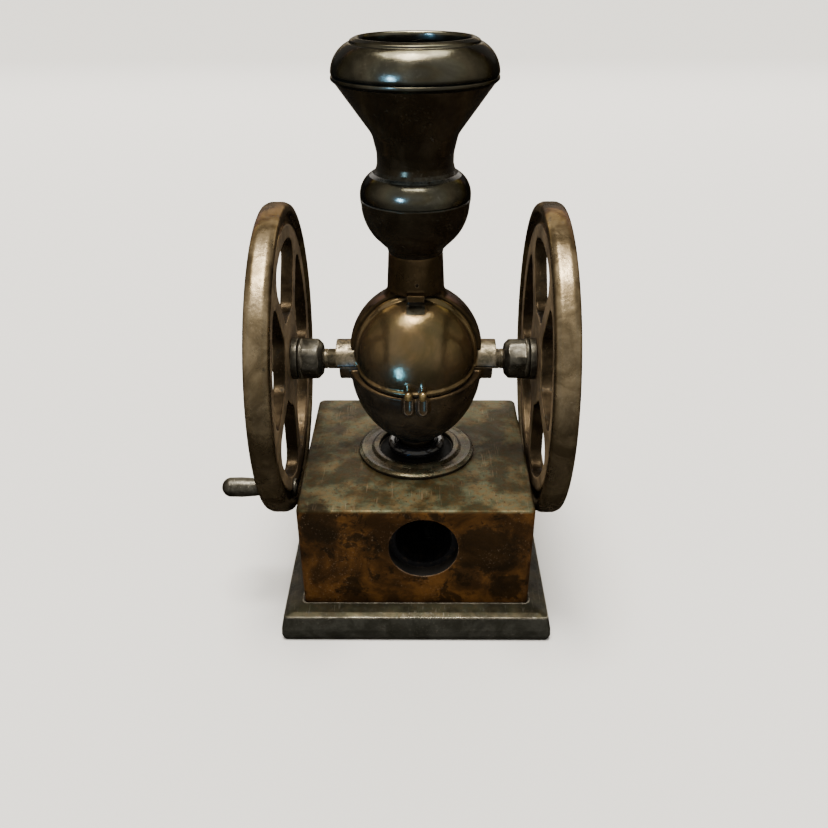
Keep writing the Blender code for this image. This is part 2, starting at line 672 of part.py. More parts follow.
def opening_outline():
    """One wheel opening about +Y: a sector between two spokes, with rounded corners."""
    half_pitch = math.pi / OPENINGS
    along = Vector((math.sin(half_pitch), math.cos(half_pitch)))
    inward = Vector((-math.cos(half_pitch), math.sin(half_pitch)))
    offset = SPOKE_WIDTH / 2 + OPENING_CORNER
    outer_reach = OPENING_OUT_R - OPENING_CORNER
    inner_reach = OPENING_IN_R + OPENING_CORNER
    outer = inward * offset + along * math.sqrt(outer_reach**2 - offset**2)
    inner = inward * offset + along * math.sqrt(inner_reach**2 - offset**2)
    rim_side = math.degrees(math.atan2(outer.y, outer.x))
    spoke_side = math.degrees(math.atan2(-inward.y, -inward.x))
    hub_side = math.degrees(math.atan2(-inner.y, -inner.x))
    right = arc((0, 0), OPENING_OUT_R, 90, rim_side, 4)[1:]
    right += arc(outer, OPENING_CORNER, rim_side, spoke_side, 5)[1:]
    right += arc(inner, OPENING_CORNER, spoke_side, hub_side, 4)
    middle = [(0, OPENING_IN_R)]
    left = [(-x, y) for x, y in reversed(right)]
    return [(0, OPENING_OUT_R)] + right + middle + left


def wheel_profile():
    """Half of the wheel's section: heights are distances out from the body along the axle."""
    tread = arc((WHEEL_R - 0.9, WHEEL_OUT_X - 0.9), 0.9, 90, 0, 2)
    tread += arc((WHEEL_R - 0.9, WHEEL_IN_X + 0.9), 0.9, 0, -90, 2)
    return (
        [(AXLE_R + 0.05, HUB_BOSS_X), (3.6, HUB_BOSS_X), (3.9, WEB_OUT_X), (20.15, WEB_OUT_X)]
        + [(RIM_INNER_R, WEB_OUT_X + 0.15), (RIM_INNER_R + 0.1, WHEEL_OUT_X)]
        + tread
        + [(RIM_INNER_R + 0.1, WHEEL_IN_X), (RIM_INNER_R, WEB_IN_X + 0.35), (19.5, WEB_IN_X + 0.35)]
        + [(19.4, WEB_IN_X), (AXLE_R + 0.05, WEB_IN_X)]
    )


def make_wheels():
    """Two five-spoked wheels, each with its washer, hub collar and end nut."""
    for side, sign in (("left", -1), ("right", 1)):
        wheel = lathe(f"{side}_wheel", wheel_profile(), WHEEL_BRONZE, 60)
        wheel.location = (AXLE_FLOAT * MM, 0, SHAFT_Z * MM)
        wheel.rotation_euler = (0, sign * math.pi / 2, 0)
        for i in range(OPENINGS):
            opening = plate(f"{side}_opening_{i + 1}", opening_outline(), 6)
            turn = Matrix.Rotation(i * 2 * math.pi / OPENINGS, 4, "X")
            stand = Matrix.Rotation(math.pi / 2, 4, "Y") @ Matrix.Rotation(math.pi / 2, 4, "Z")
            opening.data.transform(turn @ stand)
            opening.location = ((AXLE_FLOAT + sign * 18.4) * MM, 0, SHAFT_Z * MM)
            cut(wheel, opening)
        washer_in = WEB_IN_X - HUB_WASHER
        washer = [(AXLE_R + 0.05, WEB_IN_X - GAP), (3.05, WEB_IN_X - GAP)]
        washer += [(3.05, washer_in), (AXLE_R + 0.05, washer_in)]
        collar_out = washer_in - GAP
        collar = [(AXLE_R + 0.05, collar_out), (HUB_R, collar_out)]
        collar += arc((HUB_R - 0.5, HUB_IN_X + 0.5), 0.5, 0, -90, 3)
        collar += [(AXLE_R + 0.05, HUB_IN_X)]
        nut_in = HUB_BOSS_X + GAP
        nut = [(0, 21.15), (1.6, 21.05), (2.2, nut_in + 0.6), (2.3, nut_in)]
        nut += [(AXLE_R + 0.05, nut_in), (AXLE_R + 0.05, AXLE_HALF + GAP), (0, AXLE_HALF + GAP)]
        for name, profile, material in (
            (f"{side}_hub_washer", washer, GUNMETAL),
            (f"{side}_hub_collar", collar, GUNMETAL),
            (f"{side}_axle_nut", nut, GUNMETAL),
        ):
            ring = lathe(name, profile, material, 24)
            ring.location = (AXLE_FLOAT * MM, 0, SHAFT_Z * MM)
            ring.rotation_euler = (0, sign * math.pi / 2, 0)


def make_axle():
    """The axle and the sleeve on it that limits its end float between the bearings."""
    along_x(rod("axle", AXLE_R, -AXLE_HALF, AXLE_HALF, GUNMETAL, 24), AXLE_FLOAT)
    half = BOSS_IN_X - 0.6
    sleeve = [(AXLE_R + 0.05, half), (2.3, half), (2.3, -half), (AXLE_R + 0.05, -half)]
    along_x(lathe("axle_sleeve", sleeve, STEEL, 24), AXLE_FLOAT)


def make_handle():
    """The crank handle, a shouldered pin that turns in the left wheel, and its retaining washer."""
    shoulder = -(WEB_OUT_X + GAP) + AXLE_FLOAT
    tail = -(WEB_IN_X - 0.55) + AXLE_FLOAT
    tip = [(0, HANDLE_TIP_X)]
    grip = arc((0, HANDLE_TIP_X + 1.47), 1.47, -90, -12, 6)
    grip = grip[1:] + [(1.47, -25.6), (1.35, -23.8), (1.08, -21.6), (1.0, -20.6)]
    grip += [(1.0, shoulder), (0.68, shoulder), (0.68, tail), (0, tail)]
    profile = [(r, -z) for r, z in tip + grip]
    handle = lathe("crank_handle", profile, GUNMETAL, 24)
    handle.location = (0, HANDLE_Y * MM, HANDLE_Z * MM)
    handle.rotation_euler = (0, -math.pi / 2, 0)
    hole = along_x(rod("handle_hole", 0.73, -22, -15, steps=SMALL_STEPS), 0, HANDLE_Y, HANDLE_Z)
    cut(bpy.data.objects["left_wheel"], hole)
    ring = [(0.75, 0.4), (1.35, 0.4), (1.35, 0), (0.75, 0)]
    washer = lathe("crank_washer", ring, GUNMETAL, SMALL_STEPS)
    along_x(washer, -(WEB_IN_X - GAP) + AXLE_FLOAT, HANDLE_Y, HANDLE_Z)


make_base()
make_sharpener()
make_column()
make_bowl()
make_rear_body()
make_front_cover()
make_body_fasteners()
make_hopper()
make_axle()
make_wheels()
make_handle()

for part in list(parts.objects):
    smooth(part)
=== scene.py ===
"""The look of the miniature coffee mill: smooth castings, aged bronze finishes, light and camera.

Shapes are made in millimetres, where the CAD has them, and scaled to metres at the end. Turned
pieces are closed outlines of (radius, height) points.
"""

import json
import math

import bmesh
import bpy
from mathutils import Matrix, Vector


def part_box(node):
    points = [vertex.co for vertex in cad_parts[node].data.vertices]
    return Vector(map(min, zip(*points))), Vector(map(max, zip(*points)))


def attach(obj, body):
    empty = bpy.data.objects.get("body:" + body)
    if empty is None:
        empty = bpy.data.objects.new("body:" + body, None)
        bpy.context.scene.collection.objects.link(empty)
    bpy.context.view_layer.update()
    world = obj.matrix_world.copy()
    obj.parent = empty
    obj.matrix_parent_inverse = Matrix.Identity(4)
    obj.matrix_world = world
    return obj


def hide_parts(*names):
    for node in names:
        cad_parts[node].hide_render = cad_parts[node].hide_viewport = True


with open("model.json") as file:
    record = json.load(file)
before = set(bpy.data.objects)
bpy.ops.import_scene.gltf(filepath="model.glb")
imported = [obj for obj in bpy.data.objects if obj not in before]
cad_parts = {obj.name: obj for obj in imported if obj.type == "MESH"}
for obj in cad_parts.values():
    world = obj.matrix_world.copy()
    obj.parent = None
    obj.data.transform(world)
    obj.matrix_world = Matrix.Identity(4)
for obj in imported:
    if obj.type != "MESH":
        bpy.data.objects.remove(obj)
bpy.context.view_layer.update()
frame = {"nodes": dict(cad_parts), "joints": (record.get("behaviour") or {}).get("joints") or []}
MM = 0.001


def cad_box(node):
    """The lowest and highest corner of a CAD node in millimetres."""
    low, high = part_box(node)
    return low / MM, high / MM


JOINTS = {joint["name"]: joint for joint in frame["joints"]}
SHAFT_Z = JOINTS["axle_spin"]["pos_m"][2] / MM
HANDLE_Y = JOINTS["crank_handle_spin"]["pos_m"][1] / MM
HANDLE_Z = JOINTS["crank_handle_spin"]["pos_m"][2] / MM
HOUSING_LOW, HOUSING_HIGH = cad_box("base_housing")
PLINTH_HIGH = cad_box("base_plinth")[1]
COLLAR_LOW, COLLAR_HIGH = cad_box("base_collar")
RING_LOW, RING_HIGH = cad_box("foot_ring")
BOWL_LOW, BOWL_HIGH = cad_box("lower_bowl")
BODY_LOW, BODY_HIGH = cad_box("rear_body")
COVER_HIGH = cad_box("front_cover")[1]
CUP_LOW, CUP_HIGH = cad_box("hopper_cup")
FUNNEL_LOW, FUNNEL_HIGH = cad_box("hopper_funnel")
RIM_LOW, RIM_HIGH = cad_box("hopper_rim")
AXLE_LOW, AXLE_HIGH = cad_box("axle")
HANDLE_LOW, HANDLE_HIGH = cad_box("crank_handle")
AXLE_FLOAT = (AXLE_LOW.x + AXLE_HIGH.x) / 2
AXLE_R = AXLE_HIGH.y

TURNED_STEPS = 160
GAP = 0.06  # left between two pieces that rest on each other
PLAY = 0.05  # left round a pin that turns in its hole
BORE_R = AXLE_R + PLAY
CAST_VOXEL = 0.13
SEAM_TILT = Matrix.Rotation(math.atan(0.1875), 4, "X")  # the globe's seam falls towards the front
HOLE_X, HOLE_Z, HOLE_R = 1.1, 14.45, 4.9  # the round hole in the front of the base
GLOBE_Z = 38.3
BEARING_R = 2.9
COVER_FACE_Y = -2.06
COVER_RADII = (8.3, 7.5, 8.6)
PIN_X = 1.0  # the dome's two pins stand this far from the middle
LUG_X = 1.6  # half the width of the two back lugs
HANDLE_PIN_R = 0.68


# ---------------------------------------------------------------- making shapes


def arc(centre, radius, start, end, steps):
    """Points on an arc in the profile plane, with its angles in degrees from the radius axis."""
    turns = [math.radians(start + (end - start) * i / steps) for i in range(steps + 1)]
    return [(centre[0] + radius * math.cos(a), centre[1] + radius * math.sin(a)) for a in turns]


def rounded(points, radius, steps=4):
    """The same closed outline with each corner rounded. A point may carry its own radius."""
    straight = math.pi - 0.03
    shortest = 0.004
    result = []
    count = len(points)
    for i, point in enumerate(points):
        here = Vector(point[:2])
        before = Vector(points[i - 1][:2]) - here
        after = Vector(points[(i + 1) % count][:2]) - here
        own = point[2] if len(point) > 2 else radius
        corner = before.angle(after) if before.length and after.length else math.pi
        reach = own / math.tan(corner / 2) if corner < straight else 0
        reach = min(reach, before.length * 0.48, after.length * 0.48)
        if own <= 0 or reach < shortest or corner > straight:
            result.append((here.x, here.y))
            continue
        start = here + before.normalized() * reach
        end = here + after.normalized() * reach
        for k in range(steps + 1):
            t = k / steps
            spot = start * (1 - t) ** 2 + here * 2 * t * (1 - t) + end * t**2
            result.append((spot.x, spot.y))
    return result


def unrounded(points):
    """The same points, marked so that rounded() leaves them alone."""
    return [(r, z, 0) for r, z in points]


def add_object(name, data):
    """A new object in the scene."""
    obj = bpy.data.objects.new(name, data)
    bpy.context.scene.collection.objects.link(obj)
    return obj


def mesh_object(name, points, faces):
    """A new object in the scene from points in millimetres."""
    mesh = bpy.data.meshes.new(name)
    mesh.from_pydata(points, [], faces)
    solid = bmesh.new()
    solid.from_mesh(mesh)
    bmesh.ops.remove_doubles(solid, verts=solid.verts, dist=0.0001)
    bmesh.ops.recalc_face_normals(solid, faces=solid.faces)
    solid.to_mesh(mesh)
    solid.free()
    return add_object(name, mesh)


def lathe(name, outline, steps=TURNED_STEPS):
    """A closed (radius, height) outline turned about Z. Points on the axis become poles."""
    points = []
    faces = []
    count = len(outline)
    for k in range(steps):
        angle = 2 * math.pi * k / steps
        points += [(r * math.cos(angle), r * math.sin(angle), z) for r, z in outline]
    for k in range(steps):
        this, following = k * count, ((k + 1) % steps) * count
        for i in range(count):
            j = (i + 1) % count
            if outline[i][0] < 1e-6 and outline[j][0] < 1e-6:
                continue
            corners = [this + i, this + j, following + j, following + i]
            if outline[i][0] < 1e-6:
                corners = corners[:3]
            elif outline[j][0] < 1e-6:
                corners = [this + i, this + j, following + i]
            faces.append(corners)
    return mesh_object(name, points, faces)


def square_loop(half, corner, z, steps=8):
    """A square loop with rounded corners at one height."""
    loop = []
    for quarter in range(4):
        centre = Matrix.Rotation(quarter * math.pi / 2, 2) @ Vector((half - corner, half - corner))
        for k in range(steps + 1):
            angle = quarter * math.pi / 2 + k / steps * math.pi / 2
            x = centre.x + corner * math.cos(angle)
            y = centre.y + corner * math.sin(angle)
            loop.append((x, y, z))
    return loop


def loft(name, loops, ring=False):
    """Loops of equal length joined in order. The ends are capped, or joined to each other."""
    count = len(loops[0])
    points = [point for loop in loops for point in loop]
    faces = []
    for row in range(len(loops) if ring else len(loops) - 1):
        this, following = row * count, ((row + 1) % len(loops)) * count
        for i in range(count):
            j = (i + 1) % count
            faces.append((this + i, this + j, following + j, following + i))
    if not ring:
        faces.append(tuple(reversed(range(count))))
        faces.append(tuple(range(len(points) - count, len(points))))
    return mesh_object(name, points, faces)


def prism(name, outline, low, high):
    """A flat outline in XY, extruded along Z from low to high."""
    return loft(name, [[(x, y, z) for x, y in outline] for z in (low, high)])


def block(name, low, high):
    """A plain box between two corners, for cutting or for remeshing."""
    corners = [(low[0], low[1]), (high[0], low[1]), (high[0], high[1]), (low[0], high[1])]
    return prism(name, corners, low[2], high[2])


def moved(obj, matrix):
    """Moves the points of an object by a matrix."""
    obj.data.transform(matrix)
    return obj


def shift(x=0.0, y=0.0, z=0.0):
    """The matrix that moves by millimetres."""
    return Matrix.Translation((x, y, z))


def turn(axis, degrees):
    """The matrix that turns about one axis."""
    return Matrix.Rotation(math.radians(degrees), 4, axis)


def evaluate(obj):
    """Replaces an object's mesh by what its modifiers make of it."""
    bpy.context.view_layer.update()
    graph = bpy.context.evaluated_depsgraph_get()
    mesh = bpy.data.meshes.new_from_object(obj.evaluated_get(graph))
    obj.modifiers.clear()
    obj.data = mesh


def carve(obj, operation, *others):
    """A Boolean with each of the others in turn, which are then removed."""
    for other in others:
        step = obj.modifiers.new("Carve", "BOOLEAN")
        step.object = other
        step.operation = operation
        step.solver = "EXACT"
        evaluate(obj)
        bpy.data.objects.remove(other, do_unlink=True)


def soften(obj, voxel, passes):
    """Casts an object in one skin, with its inner corners filled and its outer ones rounded."""
    cast = obj.modifiers.new("Cast", "REMESH")
    cast.mode = "VOXEL"
    cast.voxel_size = voxel
    relax = obj.modifiers.new("Relax", "SMOOTH")
    relax.iterations = passes
    relax.factor = 0.5
    evaluate(obj)


def piece(obj, body, material, slot, *nodes, sharp=60):
    """Scales a finished piece to metres, gives it its finish and ties it to the CAD."""
    obj.data.transform(Matrix.Scale(MM, 4))
    obj.data.materials.clear()
    obj.data.materials.append(material)
    obj.data.shade_smooth()
    if sharp:
        obj.data.set_sharp_from_angle(angle=math.radians(sharp))
    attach(obj, body)
    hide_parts(*nodes)


def refinish(obj, material, wanted):
    """Gives a second finish to the faces that wanted(centre in millimetres, normal) picks."""
    obj.data.materials.append(material)
    index = len(obj.data.materials) - 1
    for face in obj.data.polygons:
        if wanted(face.center / MM, face.normal):
            face.material_index = index


def along_x(sign, x=0.0, y=0.0, z=SHAFT_Z):
    """The matrix that lays a piece made along +Z outwards along X on that side."""
    return shift(x, y, z) @ turn("Y", 90 * sign)


def side_span(node):
    """Where a CAD node on the axle starts and ends, measured from its middle, and its radius."""
    low, high = cad_box(node)
    near, far = sorted((abs(low.x - AXLE_FLOAT), abs(high.x - AXLE_FLOAT)))
    return near, far, high.y


# ---------------------------------------------------------------- finishes


class Finish:
    """Builds one material's node tree. Lengths are in millimetres."""

    def __init__(self, name):
        self.material = bpy.data.materials.new(name)
        self.material.use_nodes = True
        self.tree = self.material.node_tree
        self.shader = self.tree.nodes["Principled BSDF"]
        self.place = self.add("ShaderNodeTexCoord").outputs["Object"]

    def add(self, kind, **settings):
        """A new node of the tree with some of its settings."""
        node = self.tree.nodes.new(kind)
        for key, value in settings.items():
            setattr(node, key, value)
        return node

    def feed(self, socket, value):
        """Links an output to a socket, or sets the socket's own value."""
        if isinstance(value, bpy.types.NodeSocket):
            self.tree.links.new(value, socket)
        elif isinstance(value, tuple) and len(value) == 3 and socket.type == "RGBA":
            socket.default_value = (*value, 1)
        else:
            socket.default_value = value

    def surface(self, name, value):
        """Links or sets one input of the shader."""
        self.feed(self.shader.inputs[name], value)

    def stretched(self, turned, scale):
        """Object coordinates turned by degrees and stretched, for streaks and scratches."""
        node = self.add("ShaderNodeMapping")
        self.feed(node.inputs["Vector"], self.place)
        node.inputs["Rotation"].default_value = [math.radians(angle) for angle in turned]
        node.inputs["Scale"].default_value = scale
        return node.outputs["Vector"]

    def noise(self, size, detail=4.0, roughness=0.55, distortion=0.0, place=None):
        """Noise whose features are about size across."""
        node = self.add("ShaderNodeTexNoise")
        self.feed(node.inputs["Vector"], place or self.place)
        node.inputs["Scale"].default_value = 1 / (size * MM)
        node.inputs["Detail"].default_value = detail
        node.inputs["Roughness"].default_value = roughness
        node.inputs["Distortion"].default_value = distortion
        return node.outputs["Fac"]

    def span(self, value, low, high, to_low=0.0, to_high=1.0):
        """The value taken from one range to another, and held inside it."""
        node = self.add("ShaderNodeMapRange", interpolation_type="SMOOTHSTEP")
        self.feed(node.inputs["Value"], value)
        node.inputs["From Min"].default_value = low
        node.inputs["From Max"].default_value = high
        node.inputs["To Min"].default_value = to_low
        node.inputs["To Max"].default_value = to_high
        return node.outputs["Result"]

    def maths(self, operation, a, b=0.0):
        """One step of arithmetic on outputs or numbers."""
        node = self.add("ShaderNodeMath", operation=operation)
        self.feed(node.inputs[0], a)
        self.feed(node.inputs[1], b)
        return node.outputs[0]

    def times(self, a, b):
        """One output or number times another."""
        return self.maths("MULTIPLY", a, b)

    def mix(self, factor, a, b, blend="MIX"):
        """Colour a where the factor is 0 and b where it is 1."""
        node = self.add("ShaderNodeMix", data_type="RGBA", blend_type=blend)
        self.feed(node.inputs["Factor"], factor)
        self.feed(node.inputs["A"], a)
        self.feed(node.inputs["B"], b)
        return node.outputs["Result"]

    def edges(self, width):
        """1 on outer edges and 0 on flat ground, from how far the rounded normal leans."""
        bevel = self.add("ShaderNodeBevel", samples=4)
        bevel.inputs["Radius"].default_value = width * MM
        ground = self.add("ShaderNodeNewGeometry")
        dot = self.add("ShaderNodeVectorMath", operation="DOT_PRODUCT")
        self.feed(dot.inputs[0], bevel.outputs["Normal"])
        self.feed(dot.inputs[1], ground.outputs["Normal"])
        return self.span(dot.outputs["Value"], 0.97, 0.8)

    def hollows(self, reach):
        """1 deep in corners and 0 in the open, from ambient occlusion; it masks dirt and painted
        shade.
        """
        node = self.add("ShaderNodeAmbientOcclusion", samples=4)
        node.inputs["Distance"].default_value = reach * MM
        return self.span(node.outputs["AO"], 0.72, 0.3)

    def stain(self, centre, reach):
        """1 inside a ragged stain round one point, and 0 outside it."""
        away = self.add("ShaderNodeVectorMath", operation="DISTANCE")
        self.feed(away.inputs[0], self.place)
        self.feed(away.inputs[1], Vector(centre) * MM)
        ragged = self.times(self.noise(3.0, 8, 0.7), reach * MM * 1.6)
        edge = self.maths("ADD", away.outputs["Value"], ragged)
        return self.span(edge, reach * MM * 1.9, reach * MM * 1.6)

    def upward(self):
        """1 on faces that look up and 0 on upright ones."""
        ground = self.add("ShaderNodeNewGeometry")
        split = self.add("ShaderNodeSeparateXYZ")
        self.feed(split.inputs[0], ground.outputs["Normal"])
        return self.span(split.outputs["Z"], 0.15, 0.85)

    def scratches(self, size, turned):
        """Thin straight marks in one direction."""
        marks = self.noise(size, 2.0, 0.5, 0.15, self.stretched(turned, (1.0, 0.06, 1.0)))
        return self.span(marks, 0.64, 0.712)

    def bump(self, height, depth, normal=None):
        """A bump normal for a height that varies by depth."""
        node = self.add("ShaderNodeBump")
        node.inputs["Distance"].default_value = depth * MM
        self.feed(node.inputs["Height"], height)
        if normal:
            self.feed(node.inputs["Normal"], normal)
        return node.outputs["Normal"]


DULL_EDGE = (0.32, 0.27, 0.2)  # tints what old lacquer reflects at a glancing angle
FLECK_AND_GLINT = (0.5, 0.42, 0.3)  # bare metal in pinholes, partly painted glints


def patina(
    name,
    light,
    dark,
    worn_and_glint,
    metallic=0.9,
    rough=(0.28, 0.5),
    coat=0.0,
    specular=0.5,
    edge_tint=DULL_EDGE,
    patch=6.0,
    patch_share=0.5,
    blotch=(0.012, 0.011, 0.009),
    blotch_size=1.8,
    blotch_range=(0.56, 0.68),
    edge_width=0.3,
    edge_share=0.8,
    scratch_strength=0.1,
    fleck_range=(0.72, 0.76),
    fleck_strength=0.5,
    top_tints_and_shading=None,
    hollow_reach=1.6,
    hollow_strength=0.75,
    pit_depth=0.02,
    stains=(),
):
    """Aged lacquered bronze: two drifting tones, blotches, flecks, scratches and worn edges, with
    painted light mixed in: glints in the flecks, a highlight along edges, shade in hollows, and
    tops tinted lighter or darker.
    """
    f = Finish(name)
    drift = f.span(f.noise(patch, 6, 0.62, 0.6), patch_share - 0.12, patch_share + 0.12)
    colour = f.mix(drift, dark, light)
    grain = f.noise(0.5, 5, 0.7)
    colour = f.mix(f.span(grain, 0.3, 0.7, 0.35, 0.0), colour, dark)
    # Faces that look up get their own mottled tints: partly greenish patina, partly painted light
    # that makes tops lighter or darker than the sides for how light falls on them.
    if top_tints_and_shading:
        top_mottle_and_shading = f.mix(f.span(f.noise(1.3, 8, 0.78, 0.3), 0.44, 0.56), *top_tints_and_shading)
        cloud = f.mix(f.span(f.noise(4.5, 5, 0.6), 0.4, 0.62), (0.42, 0.42, 0.36), (1.3, 1.32, 1.3))
        top_mottle_and_shading = f.mix(1.0, top_mottle_and_shading, cloud, "MULTIPLY")
        top_mottle_and_shading = f.mix(f.span(f.noise(0.7, 6, 0.75), 0.46, 0.36, 0.0, 0.8), top_mottle_and_shading, dark)
        colour = f.mix(f.times(f.upward(), 0.92), colour, top_mottle_and_shading)
    spots = f.span(f.noise(blotch_size, 9, 0.7, 0.4), *blotch_range)
    if top_tints_and_shading:
        upright = f.maths("SUBTRACT", 1.0, f.times(f.upward(), 0.8))
        spots = f.times(spots, upright)
    for centre, reach in stains:
        spots = f.maths("MAXIMUM", spots, f.stain(centre, reach))
    colour = f.mix(f.times(spots, 0.85), colour, blotch)
    # Random light specks: partly bare metal in pinholes, partly painted glints.
    specks_and_glints = f.span(f.noise(0.18, 3, 0.6), *fleck_range)
    colour = f.mix(f.times(specks_and_glints, fleck_strength), colour, FLECK_AND_GLINT)
    rising = f.scratches(0.35, (0, 0, 32))
    falling = f.scratches(0.3, (20, 0, -58))
    marks = f.maths("MAXIMUM", rising, falling)
    patchy = f.span(f.noise(5, 3), 0.42, 0.6)
    marks = f.times(f.times(marks, patchy), scratch_strength)
    colour = f.mix(marks, colour, worn_and_glint)
    # Outer edges take the worn tone: partly rubbed metal, partly a painted highlight along rounded
    # edges.
    edge = f.edges(edge_width)
    edge_wear_and_glint = f.times(edge, f.span(f.noise(1.1, 6, 0.7), 0.3, 0.62))
    edge_wear_and_glint = f.times(edge_wear_and_glint, edge_share)
    colour = f.mix(edge_wear_and_glint, colour, worn_and_glint)
    # Hollows are darkened towards the blotch colour: partly dirt, partly painted shade in corners
    # and recesses.
    dirt_and_shade = f.times(f.hollows(hollow_reach), hollow_strength)
    colour = f.mix(dirt_and_shade, colour, blotch)
    f.surface("Base Color", colour)

    # Blotches and the dirt and painted shade in hollows are duller than the rest, and worn edges
    # with their painted highlight are glossier.
    gloss = f.span(f.noise(2.4, 7, 0.65), 0.3, 0.7, rough[0], rough[1])
    gloss = f.maths("ADD", gloss, f.times(spots, 0.14))
    gloss = f.maths("ADD", gloss, f.times(dirt_and_shade, 0.2))
    gloss = f.maths("SUBTRACT", gloss, f.times(edge_wear_and_glint, 0.06))
    f.surface("Roughness", gloss)
    shine = f.maths("SUBTRACT", metallic, f.times(spots, 0.35))
    f.surface("Metallic", f.maths("SUBTRACT", shine, f.times(dirt_and_shade, 0.3)))
    f.surface("Specular IOR Level", specular)
    f.surface("Specular Tint", edge_tint)
    f.surface("Coat Weight", coat)
    f.surface("Coat Roughness", 0.12)

    # The casting swells a little, is pitted, and has its scratches cut in.
    swell = f.bump(f.noise(2.6, 3, 0.5), pit_depth * 4)
    pits = f.bump(f.noise(0.4, 5, 0.6), pit_depth, swell)
    relief = f.bump(marks, -pit_depth * 0.6, pits)
    f.surface("Normal", relief)
    return f.material


def steel(name, tone, rough):
    """Bare metal with fine drawn streaks and a few stains."""
    f = Finish(name)
    streaks = f.noise(0.25, 4, 0.6, 0, f.stretched((0, 0, 12), (1.0, 0.1, 1.0)))
    colour = f.mix(f.span(streaks, 0.35, 0.65), tuple(c * 0.75 for c in tone), tone)
    stains = f.span(f.noise(1.5, 6, 0.65), 0.52, 0.68)
    colour = f.mix(f.times(stains, 0.6), colour, (0.09, 0.07, 0.05))
    f.surface("Base Color", colour)
    f.surface("Roughness", f.span(streaks, 0.3, 0.7, rough, rough + 0.18))
    f.surface("Metallic", 1.0)
    f.surface("Normal", f.bump(streaks, 0.01))
    return f.material


def lacquer(name):
    """Glossy black lacquer with dust and faint marks."""
    f = Finish(name)
    dust = f.span(f.noise(0.3, 4, 0.7), 0.6, 0.72)
    colour = f.mix(f.times(dust, 0.25), (0.006, 0.006, 0.007), (0.12, 0.1, 0.08))
    f.surface("Base Color", colour)
    f.surface("Roughness", f.span(dust, 0.0, 1.0, 0.14, 0.4))
    f.surface("Specular IOR Level", 0.35)
    f.surface("Coat Weight", 0.15)
    f.surface("Coat Roughness", 0.08)
    f.surface("Normal", f.bump(f.noise(1.2, 3), 0.03))
    return f.material


BASE_FINISH = patina(
    "base_bronze",
    light=(0.094, 0.041, 0.01),
    dark=(0.022, 0.011, 0.004),
    worn_and_glint=(0.48, 0.34, 0.23),
    metallic=0.35,
    specular=0.12,
    patch=7.0,
    patch_share=0.52,
    rough=(0.4, 0.58),
    top_tints_and_shading=((0.043, 0.046, 0.028), (0.058, 0.042, 0.02)),
    blotch=(0.005, 0.003, 0.001),
    blotch_size=3.0,
    blotch_range=(0.52, 0.6),
    stains=(((10.2, -16.5, 14.3), 4.6), ((-13.5, -16.5, 18.5), 3.2), ((13.0, -16.5, 7.5), 2.6)),
    edge_width=0.35,
    scratch_strength=0.08,
    fleck_range=(0.74, 0.78),
    fleck_strength=0.45,
    hollow_reach=3.0,
    hollow_strength=0.95,
)
PLINTH_FINISH = patina(
    "plinth_bronze",
    light=(0.034, 0.034, 0.029),
    dark=(0.015, 0.015, 0.012),
    # The bright worn tone on the edges is partly rubbing and partly a painted highlight line along
    # the plinth's rounded top edge.
    worn_and_glint=(0.66, 0.6, 0.5),
    metallic=0.5,
    specular=0.3,
    patch=4.0,
    rough=(0.3, 0.5),
    top_tints_and_shading=((0.011, 0.011, 0.006), (0.016, 0.013, 0.007)),
    fleck_range=(0.76, 0.8),
    fleck_strength=0.08,
    scratch_strength=0.03,
    edge_width=0.45,
    edge_share=1.0,
)
COLLAR_FINISH = patina(
    "collar_bronze",
    light=(0.06, 0.05, 0.032),
    dark=(0.022, 0.018, 0.012),
    worn_and_glint=(0.5, 0.44, 0.34),
    metallic=0.5,
    patch=3.0,
    rough=(0.18, 0.36),
    top_tints_and_shading=((0.05, 0.052, 0.034), (0.07, 0.052, 0.03)),
    edge_share=0.35,
    fleck_range=(0.68, 0.72),
    hollow_reach=3.0,
    hollow_strength=0.95,
)
BOWL_FINISH = patina(
    "bowl_bronze",
    light=(0.052, 0.034, 0.016),
    dark=(0.022, 0.014, 0.007),
    worn_and_glint=(0.34, 0.26, 0.17),
    metallic=0.65,
    specular=0.25,
    patch=5.0,
    rough=(0.26, 0.42),
    blotch_range=(0.6, 0.72),
)
BODY_FINISH = patina(
    "body_bronze",
    light=(0.075, 0.05, 0.025),
    dark=(0.034, 0.023, 0.011),
    worn_and_glint=(0.34, 0.26, 0.16),
    metallic=0.8,
    specular=0.25,
    patch=5.0,
    rough=(0.26, 0.4),
    edge_width=0.2,
    edge_share=0.5,
    blotch_range=(0.6, 0.72),
)
COVER_FINISH = patina(
    "cover_bronze",
    light=(0.14, 0.094, 0.046),
    dark=(0.078, 0.06, 0.028),
    worn_and_glint=(0.4, 0.31, 0.19),
    edge_tint=(0.2, 0.17, 0.12),
    patch=7.0,
    rough=(0.18, 0.27),
    hollow_strength=0.9,
    edge_width=0.25,
    edge_share=0.5,
    blotch_range=(0.64, 0.76),
    fleck_range=(0.77, 0.8),
    fleck_strength=0.3,
    pit_depth=0.014,
)
RIM_FINISH = patina(
    "hopper_rim_bronze",
    light=(0.075, 0.07, 0.05),
    dark=(0.04, 0.036, 0.025),
    worn_and_glint=(0.45, 0.42, 0.34),
    edge_tint=(0.2, 0.18, 0.14),
    metallic=0.97,
    hollow_strength=0.3,
    patch=7.0,
    rough=(0.15, 0.23),
    edge_width=0.2,
    edge_share=0.4,
    blotch_range=(0.66, 0.78),
    fleck_range=(0.78, 0.82),
    fleck_strength=0.3,
    scratch_strength=0.08,
    pit_depth=0.01,
)
